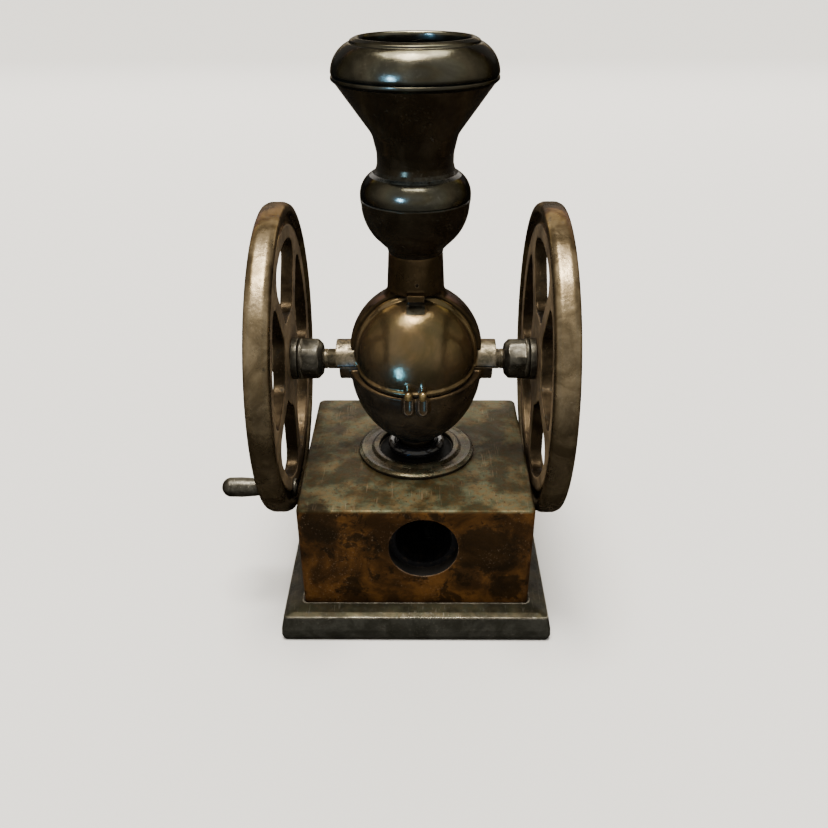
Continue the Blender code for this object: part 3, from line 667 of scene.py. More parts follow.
HOPPER_FINISH = patina(
    "hopper_bronze",
    light=(0.018, 0.012, 0.006),
    dark=(0.008, 0.005, 0.002),
    worn_and_glint=(0.2, 0.17, 0.12),
    metallic=0.5,
    specular=0.3,
    edge_tint=(0.25, 0.2, 0.14),
    rough=(0.16, 0.26),
    top_tints_and_shading=((0.04, 0.037, 0.028), (0.025, 0.021, 0.014)),
    edge_width=0.2,
    edge_share=0.35,
    blotch_range=(0.62, 0.74),
    fleck_range=(0.78, 0.82),
    fleck_strength=0.25,
    scratch_strength=0.08,
    pit_depth=0.01,
)
WHEEL_FINISH = patina(
    "wheel_bronze",
    light=(0.19, 0.148, 0.09),
    dark=(0.08, 0.06, 0.034),
    worn_and_glint=(0.48, 0.4, 0.29),
    edge_tint=(0.2, 0.165, 0.115),
    patch=5.0,
    rough=(0.24, 0.38),
    edge_width=0.4,
    edge_share=0.6,
    blotch_range=(0.6, 0.72),
    scratch_strength=0.12,
    fleck_range=(0.77, 0.81),
    fleck_strength=0.3,
)
HUB_FINISH = patina(
    "hub_gunmetal",
    light=(0.085, 0.08, 0.066),
    dark=(0.035, 0.032, 0.025),
    worn_and_glint=(0.45, 0.41, 0.33),
    edge_tint=(0.4, 0.37, 0.3),
    patch=2.0,
    rough=(0.3, 0.44),
    blotch_size=0.9,
    scratch_strength=0.3,
)
# A lighter copy of the wheel bronze for the flat web: painted light.
WEB_PAINTED_LIGHT = patina(
    "web_bronze_painted_light",
    light=(0.26, 0.19, 0.115),
    dark=(0.11, 0.078, 0.046),
    worn_and_glint=(0.4, 0.3, 0.18),
    metallic=0.45,
    specular=0.3,
    patch=4.0,
    rough=(0.3, 0.46),
    edge_share=0.7,
    blotch_range=(0.58, 0.7),
    scratch_strength=0.12,
    hollow_strength=0.4,
)
# A darker copy of the wheel bronze for the walls of the openings: painted shade.
OPENING_PAINTED_SHADE = patina(
    "opening_bronze_painted_shade",
    light=(0.045, 0.032, 0.018),
    dark=(0.016, 0.011, 0.006),
    worn_and_glint=(0.4, 0.3, 0.18),
    metallic=0.8,
    edge_tint=(0.2, 0.165, 0.115),
    patch=4.0,
    rough=(0.3, 0.46),
    edge_share=0.7,
    scratch_strength=0.12,
)
BOSS_FINISH = patina(
    "boss_bronze",
    light=(0.15, 0.125, 0.085),
    dark=(0.06, 0.052, 0.034),
    worn_and_glint=(0.5, 0.43, 0.32),
    patch=1.2,
    rough=(0.26, 0.42),
    edge_width=0.25,
    blotch_size=0.9,
    blotch_range=(0.52, 0.64),
    fleck_range=(0.66, 0.7),
    scratch_strength=0.2,
    pit_depth=0.03,
)
BRASS_FINISH = patina(
    "rubbed_brass",
    light=(0.34, 0.25, 0.11),
    dark=(0.16, 0.11, 0.05),
    worn_and_glint=(0.7, 0.56, 0.32),
    patch=1.2,
    rough=(0.2, 0.38),
    coat=0.2,
    edge_tint=(1.0, 1.0, 1.0),
    edge_width=0.2,
    blotch_size=0.7,
    scratch_strength=0.3,
)
STEEL_FINISH = steel("drawn_steel", (0.5, 0.5, 0.5), 0.26)
# The sharpener's zinc is made near black: painted shade inside the hole in the base.
SHADED_ZINC = steel("zinc_painted_shade", (0.03, 0.03, 0.033), 0.5)
BLACK_FINISH = lacquer("black_lacquer")
# Near black, painted into the hole in the base and the collar's well: painted shade.
SHADE_BLACK = patina(
    "painted_shade_black",
    light=(0.006, 0.005, 0.004),
    dark=(0.002, 0.002, 0.002),
    worn_and_glint=(0.03, 0.022, 0.014),
    metallic=0.0,
    specular=0.1,
    edge_tint=(1.0, 1.0, 1.0),
    rough=(0.6, 0.8),
    fleck_strength=0.05,
)


# ---------------------------------------------------------------- base


def make_housing():
    """The hollow box: rounded uprights, a rolled top edge and the flared hole in its front."""
    foot, top = HOUSING_LOW.z, HOUSING_HIGH.z
    half = HOUSING_HIGH.x
    inside = half - 2.15
    ceiling = top - 1.6
    screw_r = 2.2
    roll = 0.5
    outer = [square_loop(half - 0.25, 0.95, foot), square_loop(half, 1.0, top - roll)]
    for k in range(1, 6):
        angle = k / 5 * math.pi / 2
        inset = roll * (1 - math.cos(angle))
        drop = roll * (1 - math.sin(angle))
        outer.append(square_loop(half - inset, 1.0 - inset * 0.6, top - drop))
    outer.append(square_loop(screw_r, screw_r - 0.01, top))
    inner = [square_loop(screw_r, screw_r - 0.01, ceiling), square_loop(inside, 0.6, ceiling)]
    inner.append(square_loop(inside, 0.6, foot))
    box = loft("housing", outer + inner, ring=True)

    hole_y = -15
    wall = half + hole_y
    flare = 0.35
    cutter = [(0, 6), (HOLE_R + 1.5, 6), (HOLE_R + 1.5, wall + 0.01)]
    cutter += arc((HOLE_R + flare, wall - flare), flare, 90, 180, 5)
    cutter += [(HOLE_R, -3), (0, -3)]
    hole = moved(lathe("hole", cutter, 128), shift(HOLE_X, hole_y, HOLE_Z) @ turn("X", 90))
    carve(box, "DIFFERENCE", hole)
    piece(box, "stand", BASE_FINISH, "copper_bronze", "base_housing", sharp=50)

    def in_hole(spot, normal):
        reach = math.hypot(spot.x - HOLE_X, spot.z - HOLE_Z)
        return reach < HOLE_R + 0.2 and abs(normal.y) < 0.5 and -half < spot.y < -12

    # The wall of the hole is painted near black: painted shade deep inside the hole.
    refinish(box, SHADE_BLACK, in_hole)


def make_plinth():
    """The moulded skirt, swept round a square with rounded corners."""
    half, top = PLINTH_HIGH.x, PLINTH_HIGH.z
    seat = HOUSING_HIGH.x - 0.1
    inside = 14.55
    ledge = 4.25
    profile = [
        (half - 0.25, 0, 0.15),
        (half, 0.8, 0.5),
        (half - 0.06, 1.9, 0.8),
        (half - 0.45, 3.95, 0.16),
        (half - 1.3, 4.3, 0.8),
        (seat + 0.25, top, 0.12),
        (seat, top, 0.05),
        (seat, ledge, 0),
        (inside, ledge, 0),
        (inside, 0, 0.1),
    ]
    loops = [square_loop(reach, 0.7, z) for reach, z in rounded(profile, 0.2, 5)]
    skirt = loft("plinth", loops, ring=True)
    piece(skirt, "stand", PLINTH_FINISH, "olive_bronze", "base_plinth", sharp=50)


# ---------------------------------------------------------------- column and body


def make_collar():
    """The flange on the base, its beaded edge and the glossy ring that sits in it."""
    low, top = COLLAR_LOW.z, COLLAR_HIGH.z
    rim = COLLAR_HIGH.x
    bore = 1.7
    well = 5.6
    profile = [
        (bore, top - 0.7, 0),
        (well, top - 0.7, 0.1),
        (well + 0.08, top - 0.08, 0.25),
        (6.4, top + 0.02, 0.3),
        (6.9, top - 0.3, 0.3),
        (7.7, top - 0.34, 0.3),
        (8.3, top - 0.22, 0.3),
        (rim, top - 0.5, 0.35),
        (rim, low + 0.3, 0.2),
        (rim - 0.1, low, 0),
        (bore, low, 0),
    ]
    flange = lathe("collar", rounded(profile, 0.15, 5))
    piece(flange, "stand", COLLAR_FINISH, "olive_bronze", "base_collar")

    def in_well(spot, normal):
        return spot.xy.length < well - 0.05 and spot.z > low + 0.1

    # The well inside the collar is painted near black: painted shade under the bowl.
    refinish(flange, SHADE_BLACK, in_well)

    tube = (RING_HIGH.z - RING_LOW.z) / 2
    middle = (RING_HIGH.z + RING_LOW.z) / 2
    ring = lathe("ring", arc((RING_HIGH.x - tube, middle), tube, 90, -270, 32)[:-1])
    piece(ring, "stand", BLACK_FINISH, "black_lacquer", "foot_ring", sharp=0)


def half_boss(side, upper, outer):
    """Half of a shaft bearing, along X, split on the shaft's level plane."""
    up = 1 if upper else -1
    outline = [(y, up * max(z, GAP)) for y, z in arc((0, 0), BEARING_R, 0, 180, 40)]
    near, far = sorted((side * 6.6, side * outer))
    stand = turn("Z", 90) @ turn("X", 90)
    return moved(prism("boss", outline, near, far), shift(0, 0, SHAFT_Z) @ stand)


def seam_wedge(above, gap):
    """The space in front of the shaft above or below the sloping seam."""
    low, high = ((-30, -30, 0), (30, 0, 30)) if above else ((-30, -30, -30), (30, 0, 0))
    return moved(block("seam", low, high), shift(0, 0, SHAFT_Z + gap) @ SEAM_TILT)


def capsule(name, radius, low, high, x, y, squash=1.0):
    """An upright pin with two round ends."""
    profile = [(0, high)] + arc((0, high - radius), radius, 80, 0, 8)
    profile += arc((0, low + radius), radius, 0, -80, 8) + [(0, low)]
    return moved(lathe(name, profile, 32), shift(x, y, 0) @ Matrix.Diagonal((1, squash, 1, 1)))


def shaft_bore():
    """The running hole for the axle, right through both bearings."""
    reach = 14
    outline = [(0, reach), (BORE_R, reach), (BORE_R, -reach), (0, -reach)]
    return moved(lathe("bore", outline, 48), along_x(1))


def fuse(first, *others):
    """Joins overlapping solids into one object, ready for soften."""
    solid = bmesh.new()
    for obj in (first, *others):
        solid.from_mesh(obj.data)
    for obj in others:
        bpy.data.objects.remove(obj, do_unlink=True)
    solid.to_mesh(first.data)
    solid.free()


def make_bowl():
    """The lower casting: bowl, foot, lower bearing halves, front cups and back lug."""
    widest = 9.6
    sweep = 13.2
    wall = 1.3
    centre = (widest - sweep, 35.5)
    split = SHAFT_Z - GAP
    foot, seat = 23.28, BOWL_LOW.z
    profile = [(0, 27.6)] + arc(centre, sweep - wall, -31, 0, 20)
    profile += [(widest - wall, split), (9.75, split), (9.75, split - 0.5), (widest, split - 0.8)]
    profile += arc(centre, sweep, -1, -53, 40)
    profile += [(3.9, 24.5), (3.35, 24.15), (2.8, 23.95), (2.7, foot), (2.4, foot)]
    profile += [(2.4, seat), (1.5, seat), (1.5, 26.4), (0, 26.4)]
    bowl = lathe("bowl", profile)
    carve(bowl, "DIFFERENCE", seam_wedge(True, -GAP))
    lip_profile = [(8.9, 0), (9.85, 0), (9.95, -0.25), (9.8, -0.55), (9.4, -0.8), (8.9, -0.8)]
    lip = moved(lathe("lip", lip_profile), shift(0, 0.1, SHAFT_Z - GAP - 0.03) @ SEAM_TILT)
    carve(lip, "INTERSECT", block("front", (-14, -14, 20), (14, 0, 50)))
    parts = [lip] + [half_boss(side, False, BOWL_HIGH.x) for side in (-1, 1)]
    for x in (-PIN_X, PIN_X):
        parts.append(capsule("cup", 0.88, 31.9, 35.2, x, -9.4, 0.95))
    parts.append(block("back_lug", (-LUG_X, 8.7, 33.4), (LUG_X, BOWL_HIGH.y, split)))
    fuse(bowl, *parts)
    soften(bowl, CAST_VOXEL, 3)
    for x in (-PIN_X, PIN_X):
        carve(bowl, "DIFFERENCE", capsule("pocket", 0.56, 32.6, 36.5, x, -10.2, 0.75))
    carve(bowl, "DIFFERENCE", shaft_bore())
    piece(bowl, "stand", BOWL_FINISH, "copper_bronze", "lower_bowl", sharp=45)


def make_rear_body():
    """The back of the globe, the neck, the keeper at its front and the back lug."""
    globe_r = BODY_HIGH.x + 0.08
    inner_r = globe_r - 1.3
    drop = GLOBE_Z - BODY_LOW.z
    neck_top = BODY_HIGH.z
    start = math.degrees(math.acos(4.45 / globe_r))
    end = -math.degrees(math.asin(drop / globe_r))
    inner_end = -math.degrees(math.asin(drop / inner_r))
    profile = [(0, 48.2), (1.3, 48.2), (1.3, neck_top), (3.65, neck_top)]
    profile += [(3.78, neck_top - 0.15), (4.02, 47.6)]
    profile += arc((0, GLOBE_Z), globe_r, start, end, 50)
    profile += arc((0, GLOBE_Z), inner_r, inner_end, 88, 40) + [(0, GLOBE_Z + inner_r)]
    body = lathe("body", profile)
    carve(body, "DIFFERENCE", block("front", (-12, -12, 30), (12, COVER_FACE_Y + GAP, 47.45)))
    for side in (-1, 1):
        near, far = sorted((side * 7.0, side * 13.0))
        notch = [(0, far), (3.0, far), (3.0, near), (0, near)]
        carve(body, "DIFFERENCE", moved(lathe("notch", notch, 64), along_x(1)))
    keeper = block("keeper", (-1.18, -5.22, 47.28), (1.18, -3.3, 48.2))
    lug = block("lug", (-LUG_X, 8.5, BODY_LOW.z), (LUG_X, BODY_HIGH.y, 38.6))
    fuse(body, keeper, lug)
    soften(body, CAST_VOXEL, 3)
    dimple = capsule("dimple", 0.24, -0.6, 0.6, 0, 0)
    carve(body, "DIFFERENCE", moved(dimple, shift(0.2, -4.25, 49.2) @ turn("X", 90)))
    piece(body, "stand", BODY_FINISH, "copper_bronze", "rear_body", sharp=45)


def ellipsoid(name, radii, centre):
    """A smooth ball stretched to three radii."""
    ball = lathe(name, [(0, 1)] + arc((0, 0), 1, 88, -88, 60) + [(0, -1)], 120)
    return moved(ball, shift(*centre) @ Matrix.Diagonal((*radii, 1)))


def make_front_cover():
    """The dome with its flange, upper bearing halves, top tab and the two knuckles under it."""
    centre = (0, COVER_FACE_Y, GLOBE_Z)
    across, out, tall = COVER_RADII
    cover = ellipsoid("cover", COVER_RADII, centre)
    flange = [(0, 0.85), (0.97, 0.85), (0.995, 0.6), (1.0, 0.3), (1.0, 0), (0, 0)]
    stretch = Matrix.Diagonal((across + 0.5, tall + 0.5, 1, 1))
    rim = moved(lathe("rim", flange), shift(*centre) @ turn("X", 90) @ stretch)
    lip = ellipsoid("lip", (across + 0.4, out + 0.4, tall + 0.3), centre)
    carve(lip, "DIFFERENCE", seam_wedge(True, 0.75))
    hollow = ellipsoid("hollow", [radius - 1.2 for radius in COVER_RADII], centre)
    fuse(cover, rim, lip)
    soften(cover, CAST_VOXEL, 1)
    behind = block("behind", (-14, COVER_FACE_Y, 20), (14, 20, 60))
    carve(cover, "DIFFERENCE", hollow, behind)
    carve(cover, "DIFFERENCE", seam_wedge(False, GAP))
    for side in (-1, 1):
        near, far = sorted((side * 6.5, side * 12))
        below = block("below", (near, -BEARING_R - GAP, 30), (far, 1, SHAFT_Z + GAP))
        carve(cover, "DIFFERENCE", below)
    parts = [half_boss(side, True, COVER_HIGH.x) for side in (-1, 1)]
    parts.append(block("tab", (-1.12, -4.3, 45.6), (1.12, -3.7, 47.24)))
    for x, top in ((-PIN_X, 37.3), (PIN_X, 38.1)):
        parts.append(capsule("knuckle", 0.55, 35.0, top, x, -9.0, 0.95))
    fuse(cover, *parts)
    soften(cover, 0.12, 3)
    carve(cover, "DIFFERENCE", shaft_bore())
    piece(cover, "stand", COVER_FINISH, "olive_bronze", "front_cover", sharp=45)

    def on_boss(spot, normal):
        return abs(spot.x) > across + 0.55

    def on_tab(spot, normal):
        return abs(spot.x) < 1.25 and spot.z > 45.7

    refinish(cover, BOSS_FINISH, on_boss)
    # The tab under the keeper takes the dark hopper bronze: a painted shadow of the keeper's ledge.
    refinish(cover, HOPPER_FINISH, on_tab)


def make_fasteners():
    """The two rubbed pins that hold the dome's foot in its cups and the clamp screw at the back."""
    for x, node in ((-PIN_X, "cover_rivet_left"), (PIN_X, "cover_rivet_right")):
        pin = capsule(node + "_pin", 0.52, 34.7, 36.1, x, -10.15)
        piece(pin, "stand", BRASS_FINISH, "olive_bronze", node, sharp=0)
    low, high = cad_box("back_screw")
    middle_y = (low.y + high.y) / 2
    top, under = high.z, high.z - 0.8
    profile = [(0, top), (0.7, top - 0.04, 0.3), (1.05, top - 0.35, 0.2), (1.05, under, 0)]
    profile += [(0.5, under, 0), (0.5, low.z, 0), (0, low.z, 0)]
    screw = moved(lathe("clamp_screw", rounded(profile, 0.05), 48), shift(0, middle_y, 0))
    slot = block("slot", (-2, middle_y - 0.14, top - 0.32), (2, middle_y + 0.14, 45))
    carve(screw, "DIFFERENCE", slot)
    piece(screw, "stand", HUB_FINISH, "gunmetal", "back_screw", sharp=40)


# ---------------------------------------------------------------- hopper


def make_cup():
    """The round cup on top of the neck."""
    joint = CUP_HIGH.z
    cup = [(1.4, 54.9, 0), (3.6, 54.9, 0.2), (5.1, 56.3, 0.6), (6.1, 58.6, 0.8), (6.25, joint, 0)]
    cup += [(7.3, joint, 0.05), (7.42, joint - 0.15, 0.1)]
    cup += unrounded(arc((0.25, 59.75), 7.05, -2, -41, 20))
    cup += [(3.9, 53.45, 0.3), (3.78, CUP_LOW.z, 0.1), (1.4, CUP_LOW.z, 0)]
    skin = lathe("cup", rounded(cup, 0.1, 6))
    piece(skin, "stand", HOPPER_FINISH, "dark_bronze", "hopper_cup")


def make_funnel():
    """The waisted funnel, from the bulge over the cup to the band under the rim."""
    top, bottom = RIM_LOW.z - GAP, FUNNEL_LOW.z
    waist = 5.6
    edge = FUNNEL_HIGH.x
    funnel = [(8.7, top, 0), (edge - 0.3, top, 0.05), (edge - 0.02, top - 0.14, 0.12)]
    funnel += [(edge, top - 0.5, 0.2), (edge - 0.5, top - 0.9, 0.25), (5.65, 68.6, 3.0)]
    funnel += [(5.08, 66.2, 3.0), (5.06, 64.8, 1.2)]
    funnel += [(5.25, 64.1, 0.6), (waist, 63.5, 0.15)]
    funnel += unrounded(arc((4.2, bottom + 0.45), 3.22, 64, 4, 16))
    funnel += [(7.42, bottom + 0.1, 0.06), (7.36, bottom, 0.04), (6.25, bottom, 0)]
    funnel += [(6.2, 61.0, 0.4), (5.4, 62.4, 0.8), (3.95, 64.6, 1.0), (3.85, 66.2, 1.5)]
    funnel += [(4.5, 69.0, 2.0), (8.7, 75.1, 0.5)]
    skin = lathe("funnel", rounded(funnel, 0.1, 8))
    piece(skin, "stand", HOPPER_FINISH, "dark_bronze", "hopper_funnel")

    def on_band_or_bulge(spot, normal):
        reach = spot.xy.length
        on_band = reach > edge - 0.4 and spot.z > top - 0.75
        return on_band or (reach > waist and spot.z < 63.4)

    refinish(skin, RIM_FINISH, on_band_or_bulge)


def make_rim():
    """The rolled rim, with a fine lip round its mouth."""
    mouth = 6.9
    low, high = RIM_LOW.z, RIM_HIGH.z
    rim = unrounded(arc((mouth + 0.47, high - 0.45), 0.45, 180, 60, 10))
    rim += [(mouth + 1.2, high - 0.32, 0.2), (mouth + 1.28, high - 0.62, 0.1)]
    rim += unrounded(arc((6.62, low + 0.07), 4.03, 63, 3, 26))
    rim += [(10.6, low + 0.1, 0.06), (10.52, low, 0.04), (8.7, low, 0), (8.9, 76.6, 0.3)]
    rim += [(8.3, 78.0, 0.6), (mouth + 0.02, 79.0, 0.2)]
    skin = lathe("rim", rounded(rim, 0.1, 6))
    piece(skin, "stand", RIM_FINISH, "dark_bronze", "hopper_rim")


# ---------------------------------------------------------------- axle, wheels and handle


def opening_outline():
    """One wheel opening about +Y: a sector between two spokes, with rounded corners."""
    half_pitch = math.pi / 5
    inner_r, outer_r, spoke, corner = 6.8, 17.3, 2.6, 2.4
    along = Vector((math.sin(half_pitch), math.cos(half_pitch)))
    inward = Vector((-math.cos(half_pitch), math.sin(half_pitch)))
    offset = spoke / 2 + corner
    outer = inward * offset + along * math.sqrt((outer_r - corner) ** 2 - offset**2)
    inner = inward * offset + along * math.sqrt((inner_r + corner) ** 2 - offset**2)
    rim_side = math.degrees(math.atan2(outer.y, outer.x))
    spoke_side = math.degrees(math.atan2(-inward.y, -inward.x))
    hub_side = math.degrees(math.atan2(-inner.y, -inner.x))
    right = arc((0, 0), outer_r, 90, rim_side, 16)[1:]
    right += arc(outer, corner, rim_side, spoke_side, 14)[1:]
    right += arc(inner, corner, spoke_side, hub_side, 12)
    left = [(-x, y) for x, y in reversed(right)]
    return [(0, outer_r)] + right + [(0, inner_r)] + left


def make_wheel(side, sign):
    """A flywheel: raised rim with a rolled tread, grooved web, five openings and a hub boss."""
    node = f"{side}_wheel"
    near, far, tread = side_span(node)
    lip = 20.3
    profile = [(BORE_R, far - 0.9, 0), (3.2, far - 0.9, 0.3), (4.2, far - 1.2, 0.5)]
    profile += [(17.9, far - 1.2, 0), (18.7, far - 1.2, 0.3), (19.2, far - 1.42, 0.4)]
    profile += [(20.1, far - 1.25, 0.3), (lip, far - 0.3, 0.2), (lip + 0.5, far, 0.4)]
    profile += [(tread - 0.35, far - 0.1, 0.5), (tread, far - 0.9, 0.6), (tread, near + 0.9, 0.6)]
    profile += [(tread - 0.35, near + 0.1, 0.5), (lip + 0.7, near, 0.3)]
    profile += [(lip + 0.5, near + 0.3, 0.15), (lip + 0.4, near + 0.75, 0.2)]
    profile += [(19.5, near + 0.75, 0.2), (19.3, near + 0.4, 0.15), (BORE_R, near + 0.4, 0)]
    wheel = lathe(node + "_casting", rounded(profile, 0.2, 5), 240)
    for i in range(5):
        opening = prism("opening", opening_outline(), near - 2, far + 2)
        carve(wheel, "DIFFERENCE", moved(opening, turn("Z", 72 * i)))
    soften(wheel, 0.16, 3)
    # The outline's +Y is up: it goes to world +Z, and the casting's +Z goes outwards along X.
    stand = Matrix(((0, 0, sign, 0), (-sign, 0, 0, 0), (0, 1, 0, 0), (0, 0, 0, 1)))
    moved(wheel, shift(AXLE_FLOAT, 0, SHAFT_Z) @ stand)
    if side == "left":
        low, high = cad_box(node)
        hole_r = HANDLE_PIN_R + PLAY
        profile = [(0, 4), (hole_r, 4), (hole_r, -4), (0, -4)]
        place = along_x(1, (low.x + high.x) / 2, HANDLE_Y, HANDLE_Z)
        carve(wheel, "DIFFERENCE", moved(lathe("hole", profile, 32), place))
    piece(wheel, "wheels", WHEEL_FINISH, "wheel_bronze", node, sharp=0)

    def in_opening(spot, normal):
        return abs(normal.x) < 0.6 and 5 < math.hypot(spot.y, spot.z - SHAFT_Z) < 18

    def on_web(spot, normal):
        return abs(normal.x) > 0.85 and math.hypot(spot.y, spot.z - SHAFT_Z) < 19.4

    # The walls of the openings take a darker copy of the bronze: painted shade.
    refinish(wheel, OPENING_PAINTED_SHADE, in_opening)
    # The flat web takes a lighter copy of the bronze: painted light.
    refinish(wheel, WEB_PAINTED_LIGHT, on_web)


def make_hub(side, sign):
    """The collar, washer and end nut on one side of the axle."""
    near, far, radius = side_span(f"{side}_hub_collar")
    collar = [(BORE_R, far, 0), (radius - 0.1, far, 0.1), (radius, far - 0.2, 0.1)]
    collar += [(radius, far - 0.4, 0.1), (radius - 0.12, far - 0.52, 0.1)]
    collar += [(radius, far - 0.66, 0.15), (radius - 0.05, near + 0.7, 0.5)]
    collar += [(radius - 0.75, near, 0.4), (BORE_R, near, 0)]
    solid = lathe(f"{side}_collar", rounded(collar, 0.1, 6), 96)
    for i in range(6):
        flat = block("flat", (-5, radius - 0.2, near - 1), (5, 5, far - 0.62))
        carve(solid, "DIFFERENCE", moved(flat, turn("Z", 60 * i + 12)))
    moved(solid, along_x(sign, AXLE_FLOAT))
    piece(solid, "wheels", HUB_FINISH, "gunmetal", f"{side}_hub_collar", sharp=30)

    near, far, radius = side_span(f"{side}_hub_washer")
    washer = [(BORE_R, far, 0), (radius, far, 0.1), (radius, near, 0.15), (BORE_R, near, 0)]
    solid = moved(lathe(f"{side}_washer", rounded(washer, 0.1), 96), along_x(sign, AXLE_FLOAT))
    piece(solid, "wheels", HUB_FINISH, "gunmetal", f"{side}_hub_washer")

    near, far, _ = side_span(f"{side}_axle_nut")
    radius = 2.3
    nut = [(0, far, 0), (1.2, far - 0.05, 0.4), (2.0, far - 0.45, 0.3)]
    nut += [(radius, near + 0.35, 0.15), (radius, near, 0.05), (BORE_R, near, 0)]
    nut += [(BORE_R, near + 0.5, 0), (0, near + 0.5, 0)]
    solid = moved(lathe(f"{side}_nut", rounded(nut, 0.1), 96), along_x(sign, AXLE_FLOAT))
    piece(solid, "wheels", HUB_FINISH, "gunmetal", f"{side}_axle_nut")


def make_axle():
    """The shaft, with turned rings where it shows between the bearings and the hubs."""
    end = AXLE_HIGH.x - AXLE_FLOAT
    half = [(0, end, 0), (AXLE_R - 0.1, end, 0.1), (AXLE_R, end - 0.15, 0.1)]
    for x in (13.2, 12.5):
        half += [(AXLE_R, x + 0.12, 0), (AXLE_R - 0.1, x, 0.05), (AXLE_R, x - 0.12, 0)]
    other = [(r, -z, c) for r, z, c in reversed(half)]
    shaft = moved(lathe("shaft", rounded(half + other, 0.05), 64), along_x(1, AXLE_FLOAT))
    piece(shaft, "wheels", BOSS_FINISH, "gunmetal", "axle")


def make_handle():
    """The crank handle: a shouldered pin that swells to a round end, and its washer."""
    place = along_x(-1, 0, HANDLE_Y, HANDLE_Z)
    shoulder = -cad_box("left_wheel")[0].x - 1.2 + GAP
    tip, tail = -HANDLE_LOW.x, -HANDLE_HIGH.x
    grip, neck = 1.47, 1.0
    profile = [(0, tip)] + arc((0, tip - grip), grip, 84, 12, 14)
    profile += [(grip, 25.7, 0.8), (1.33, 23.8, 3.0), (1.06, 21.7, 3.0), (neck, 20.5, 1.0)]
    profile += [(neck, shoulder + 0.25, 0.1), (neck, shoulder, 0.05), (HANDLE_PIN_R, shoulder, 0)]
    profile += [(HANDLE_PIN_R, tail, 0.1), (0, tail, 0)]
    pin = moved(lathe("handle_pin", rounded(profile, 0.0, 6), 96), place)
    piece(pin, "handle", HUB_FINISH, "gunmetal", "crank_handle")

    low, high = cad_box("crank_washer")
    bore, radius = 0.75, 1.35
    ring = [(bore, -low.x, 0), (radius, -low.x, 0.1), (radius, -high.x, 0.1), (bore, -high.x, 0)]
    washer = moved(lathe("pin_washer", rounded(ring, 0.1), 64), place)
    piece(washer, "wheels", HUB_FINISH, "gunmetal", "crank_washer")


make_housing()
make_plinth()
make_collar()
make_bowl()
make_rear_body()
make_front_cover()
make_fasteners()
make_cup()
make_funnel()
make_rim()
for wheel_side, wheel_sign in (("left", -1), ("right", 1)):
    make_wheel(wheel_side, wheel_sign)
    make_hub(wheel_side, wheel_sign)
make_axle()
make_handle()

# The pieces that keep their CAD shape and only get a finish.
KEPT = (
    (PLINTH_FINISH, ("bottom_cover",)),
    (SHADED_ZINC, ("sharpener_body",)),
    (STEEL_FINISH, ("cover_screw_left", "cover_screw_right", "blade_screw", "sharpener_blade")),
    (STEEL_FINISH, ("column_screw", "hopper_screw", "axle_sleeve")),
)
for kept_finish, kept_names in KEPT:
    for kept_name in kept_names:
        kept_mesh = frame["nodes"][kept_name].data
        kept_mesh.materials.clear()
        kept_mesh.materials.append(kept_finish)


# ---------------------------------------------------------------- floor, light and camera

WARM = (1.0, 0.94, 0.84)
WHITE = (1.0, 0.97, 0.9)
GLOBE = ("cover", "bowl", "collar", "ring")
HOPPER = ("rim", "funnel", "cup")
LAMPS = (
    # name, place, target, size, power, colour, and the pieces it is kept to, if not all
    ("low_window", (-40, -75, 3), (0, -6, 38), (5, 24), 0.095, (0.1, 0.4, 1.0), GLOBE),
    ("high_window", (-52, -88, 92), (0, -6, 70), (9, 14), 0.14, (0.18, 0.5, 1.0), HOPPER),
    ("softbox", (-10, 60, 430), (0, 0, 70), (320, 150), 3.0, WHITE, HOPPER),
    ("waist_light", (-10, -160, 460), (0, 0, 62), (240, 70), 1.3, WHITE, ("funnel",)),
    ("dome_light", (-15, -20, 430), (0, -6, 42), (180, 380), 3.6, WARM, ("cover",)),
    ("back", (0, 520, 300), (0, 0, 40), (1000, 320), 3.0, (1.0, 0.95, 0.88), ()),
)


def make_floor():
    """A plain pale floor."""
    mesh = bpy.data.meshes.new("floor")
    reach = 3.0
    corners = [(-reach, -reach, 0), (reach, -reach, 0), (reach, reach, 0), (-reach, reach, 0)]
    mesh.from_pydata(corners, [], [(0, 1, 2, 3)])
    floor = add_object("floor", mesh)
    pale = Finish("pale_floor")
    pale.surface("Base Color", (0.52, 0.52, 0.52))
    pale.surface("Roughness", 0.9)
    pale.surface("Specular IOR Level", 0.1)
    mesh.materials.append(pale.material)
    floor.visible_glossy = False


def area_light(name, place, target, size, power, colour):
    """A soft rectangular light that looks from one point to another, in millimetres."""
    lamp = bpy.data.lights.new(name, "AREA")
    lamp.shape = "RECTANGLE"
    lamp.size = size[0] * MM
    lamp.size_y = size[1] * MM
    lamp.energy = power
    lamp.color = colour
    obj = add_object(name, lamp)
    obj.location = Vector(place) * MM
    obj.rotation_euler = (Vector(target) - Vector(place)).to_track_quat("-Z", "Y").to_euler()
    obj.visible_camera = False
    return obj


def shine_on(lamp, pieces):
    """Keeps a lamp to the named pieces."""
    group = bpy.data.collections.new(lamp.name + "_pieces")
    for name in pieces:
        group.objects.link(bpy.data.objects[name])
    lamp.light_linking.receiver_collection = group


def make_sun():
    """The broad warm light overhead."""
    sun = bpy.data.lights.new("overhead", "SUN")
    sun.energy = 10
    sun.angle = math.radians(26)
    sun.color = WARM
    obj = add_object("overhead", sun)
    towards = Vector((-0.05, -0.05, 1.0))
    obj.rotation_euler = (-towards).to_track_quat("-Z", "Y").to_euler()


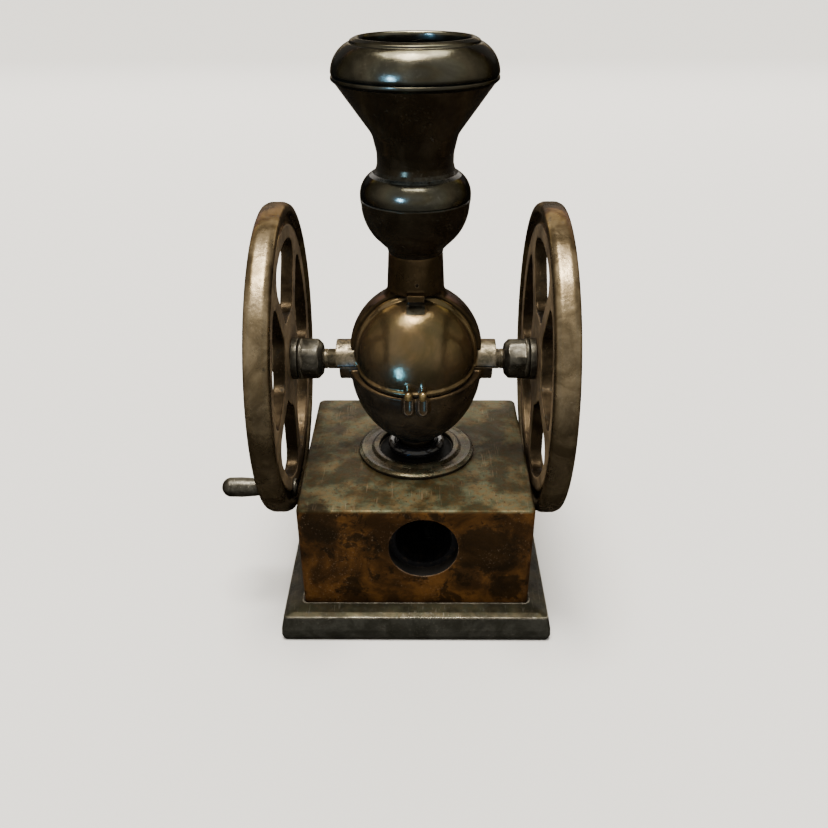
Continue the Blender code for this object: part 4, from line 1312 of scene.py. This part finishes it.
def make_room():
    """A dim grey room with a warm glow in front of the object, darker below the horizon."""
    world = bpy.data.worlds.new("room")
    world.use_nodes = True
    nodes, links = world.node_tree.nodes, world.node_tree.links
    place = nodes.new("ShaderNodeTexCoord")
    facing = nodes.new("ShaderNodeVectorMath")
    facing.operation = "DOT_PRODUCT"
    facing.inputs[1].default_value = Vector((0.05, -0.86, 0.5)).normalized()
    links.new(place.outputs["Generated"], facing.inputs[0])
    ramp = nodes.new("ShaderNodeValToRGB")
    ramp.color_ramp.interpolation = "B_SPLINE"
    stops = ramp.color_ramp.elements
    for position, level in ((0.0, 0.12), (0.78, 0.13), (0.92, 0.6), (0.98, 1.6), (1.0, 1.9)):
        stop = stops.new(position) if 0 < position < 1 else stops[int(position)]
        stop.color = (level, level * 0.89, level * 0.74, 1)
    links.new(facing.outputs["Value"], ramp.inputs["Fac"])
    height = nodes.new("ShaderNodeSeparateXYZ")
    links.new(place.outputs["Generated"], height.inputs[0])
    fade = nodes.new("ShaderNodeMapRange")
    fade.inputs["From Min"].default_value = -0.4
    fade.inputs["From Max"].default_value = 0.15
    fade.inputs["To Min"].default_value = 0.15
    links.new(height.outputs["Z"], fade.inputs["Value"])
    links.new(ramp.outputs["Color"], nodes["Background"].inputs["Color"])
    links.new(fade.outputs["Result"], nodes["Background"].inputs["Strength"])
    bpy.context.scene.world = world


def make_camera():
    """The camera, close in front of the object and looking down on it."""
    camera = bpy.data.cameras.new("camera")
    camera.lens = 38.06
    camera.sensor_width = 36.0
    camera.clip_start = 0.005
    camera.clip_end = 20
    place = (0.000917, -0.116558, 0.091079)
    forward = Vector((-0.00941, 0.87691, -0.48057)).normalized()
    roll = math.radians(-0.27)
    right = forward.cross(Vector((0, 0, 1))).normalized()
    up = right.cross(forward)
    across = right * math.cos(roll) + up * math.sin(roll)
    above = up * math.cos(roll) - right * math.sin(roll)
    facing = Matrix((across, above, -forward)).transposed()
    obj = add_object("camera", camera)
    obj.matrix_world = Matrix.Translation(place) @ facing.to_4x4()
    bpy.context.scene.camera = obj


make_floor()
make_sun()
for *lamp_settings, lit_pieces in LAMPS:
    lamp_object = area_light(*lamp_settings)
    if lit_pieces:
        shine_on(lamp_object, lit_pieces)
make_room()
make_camera()
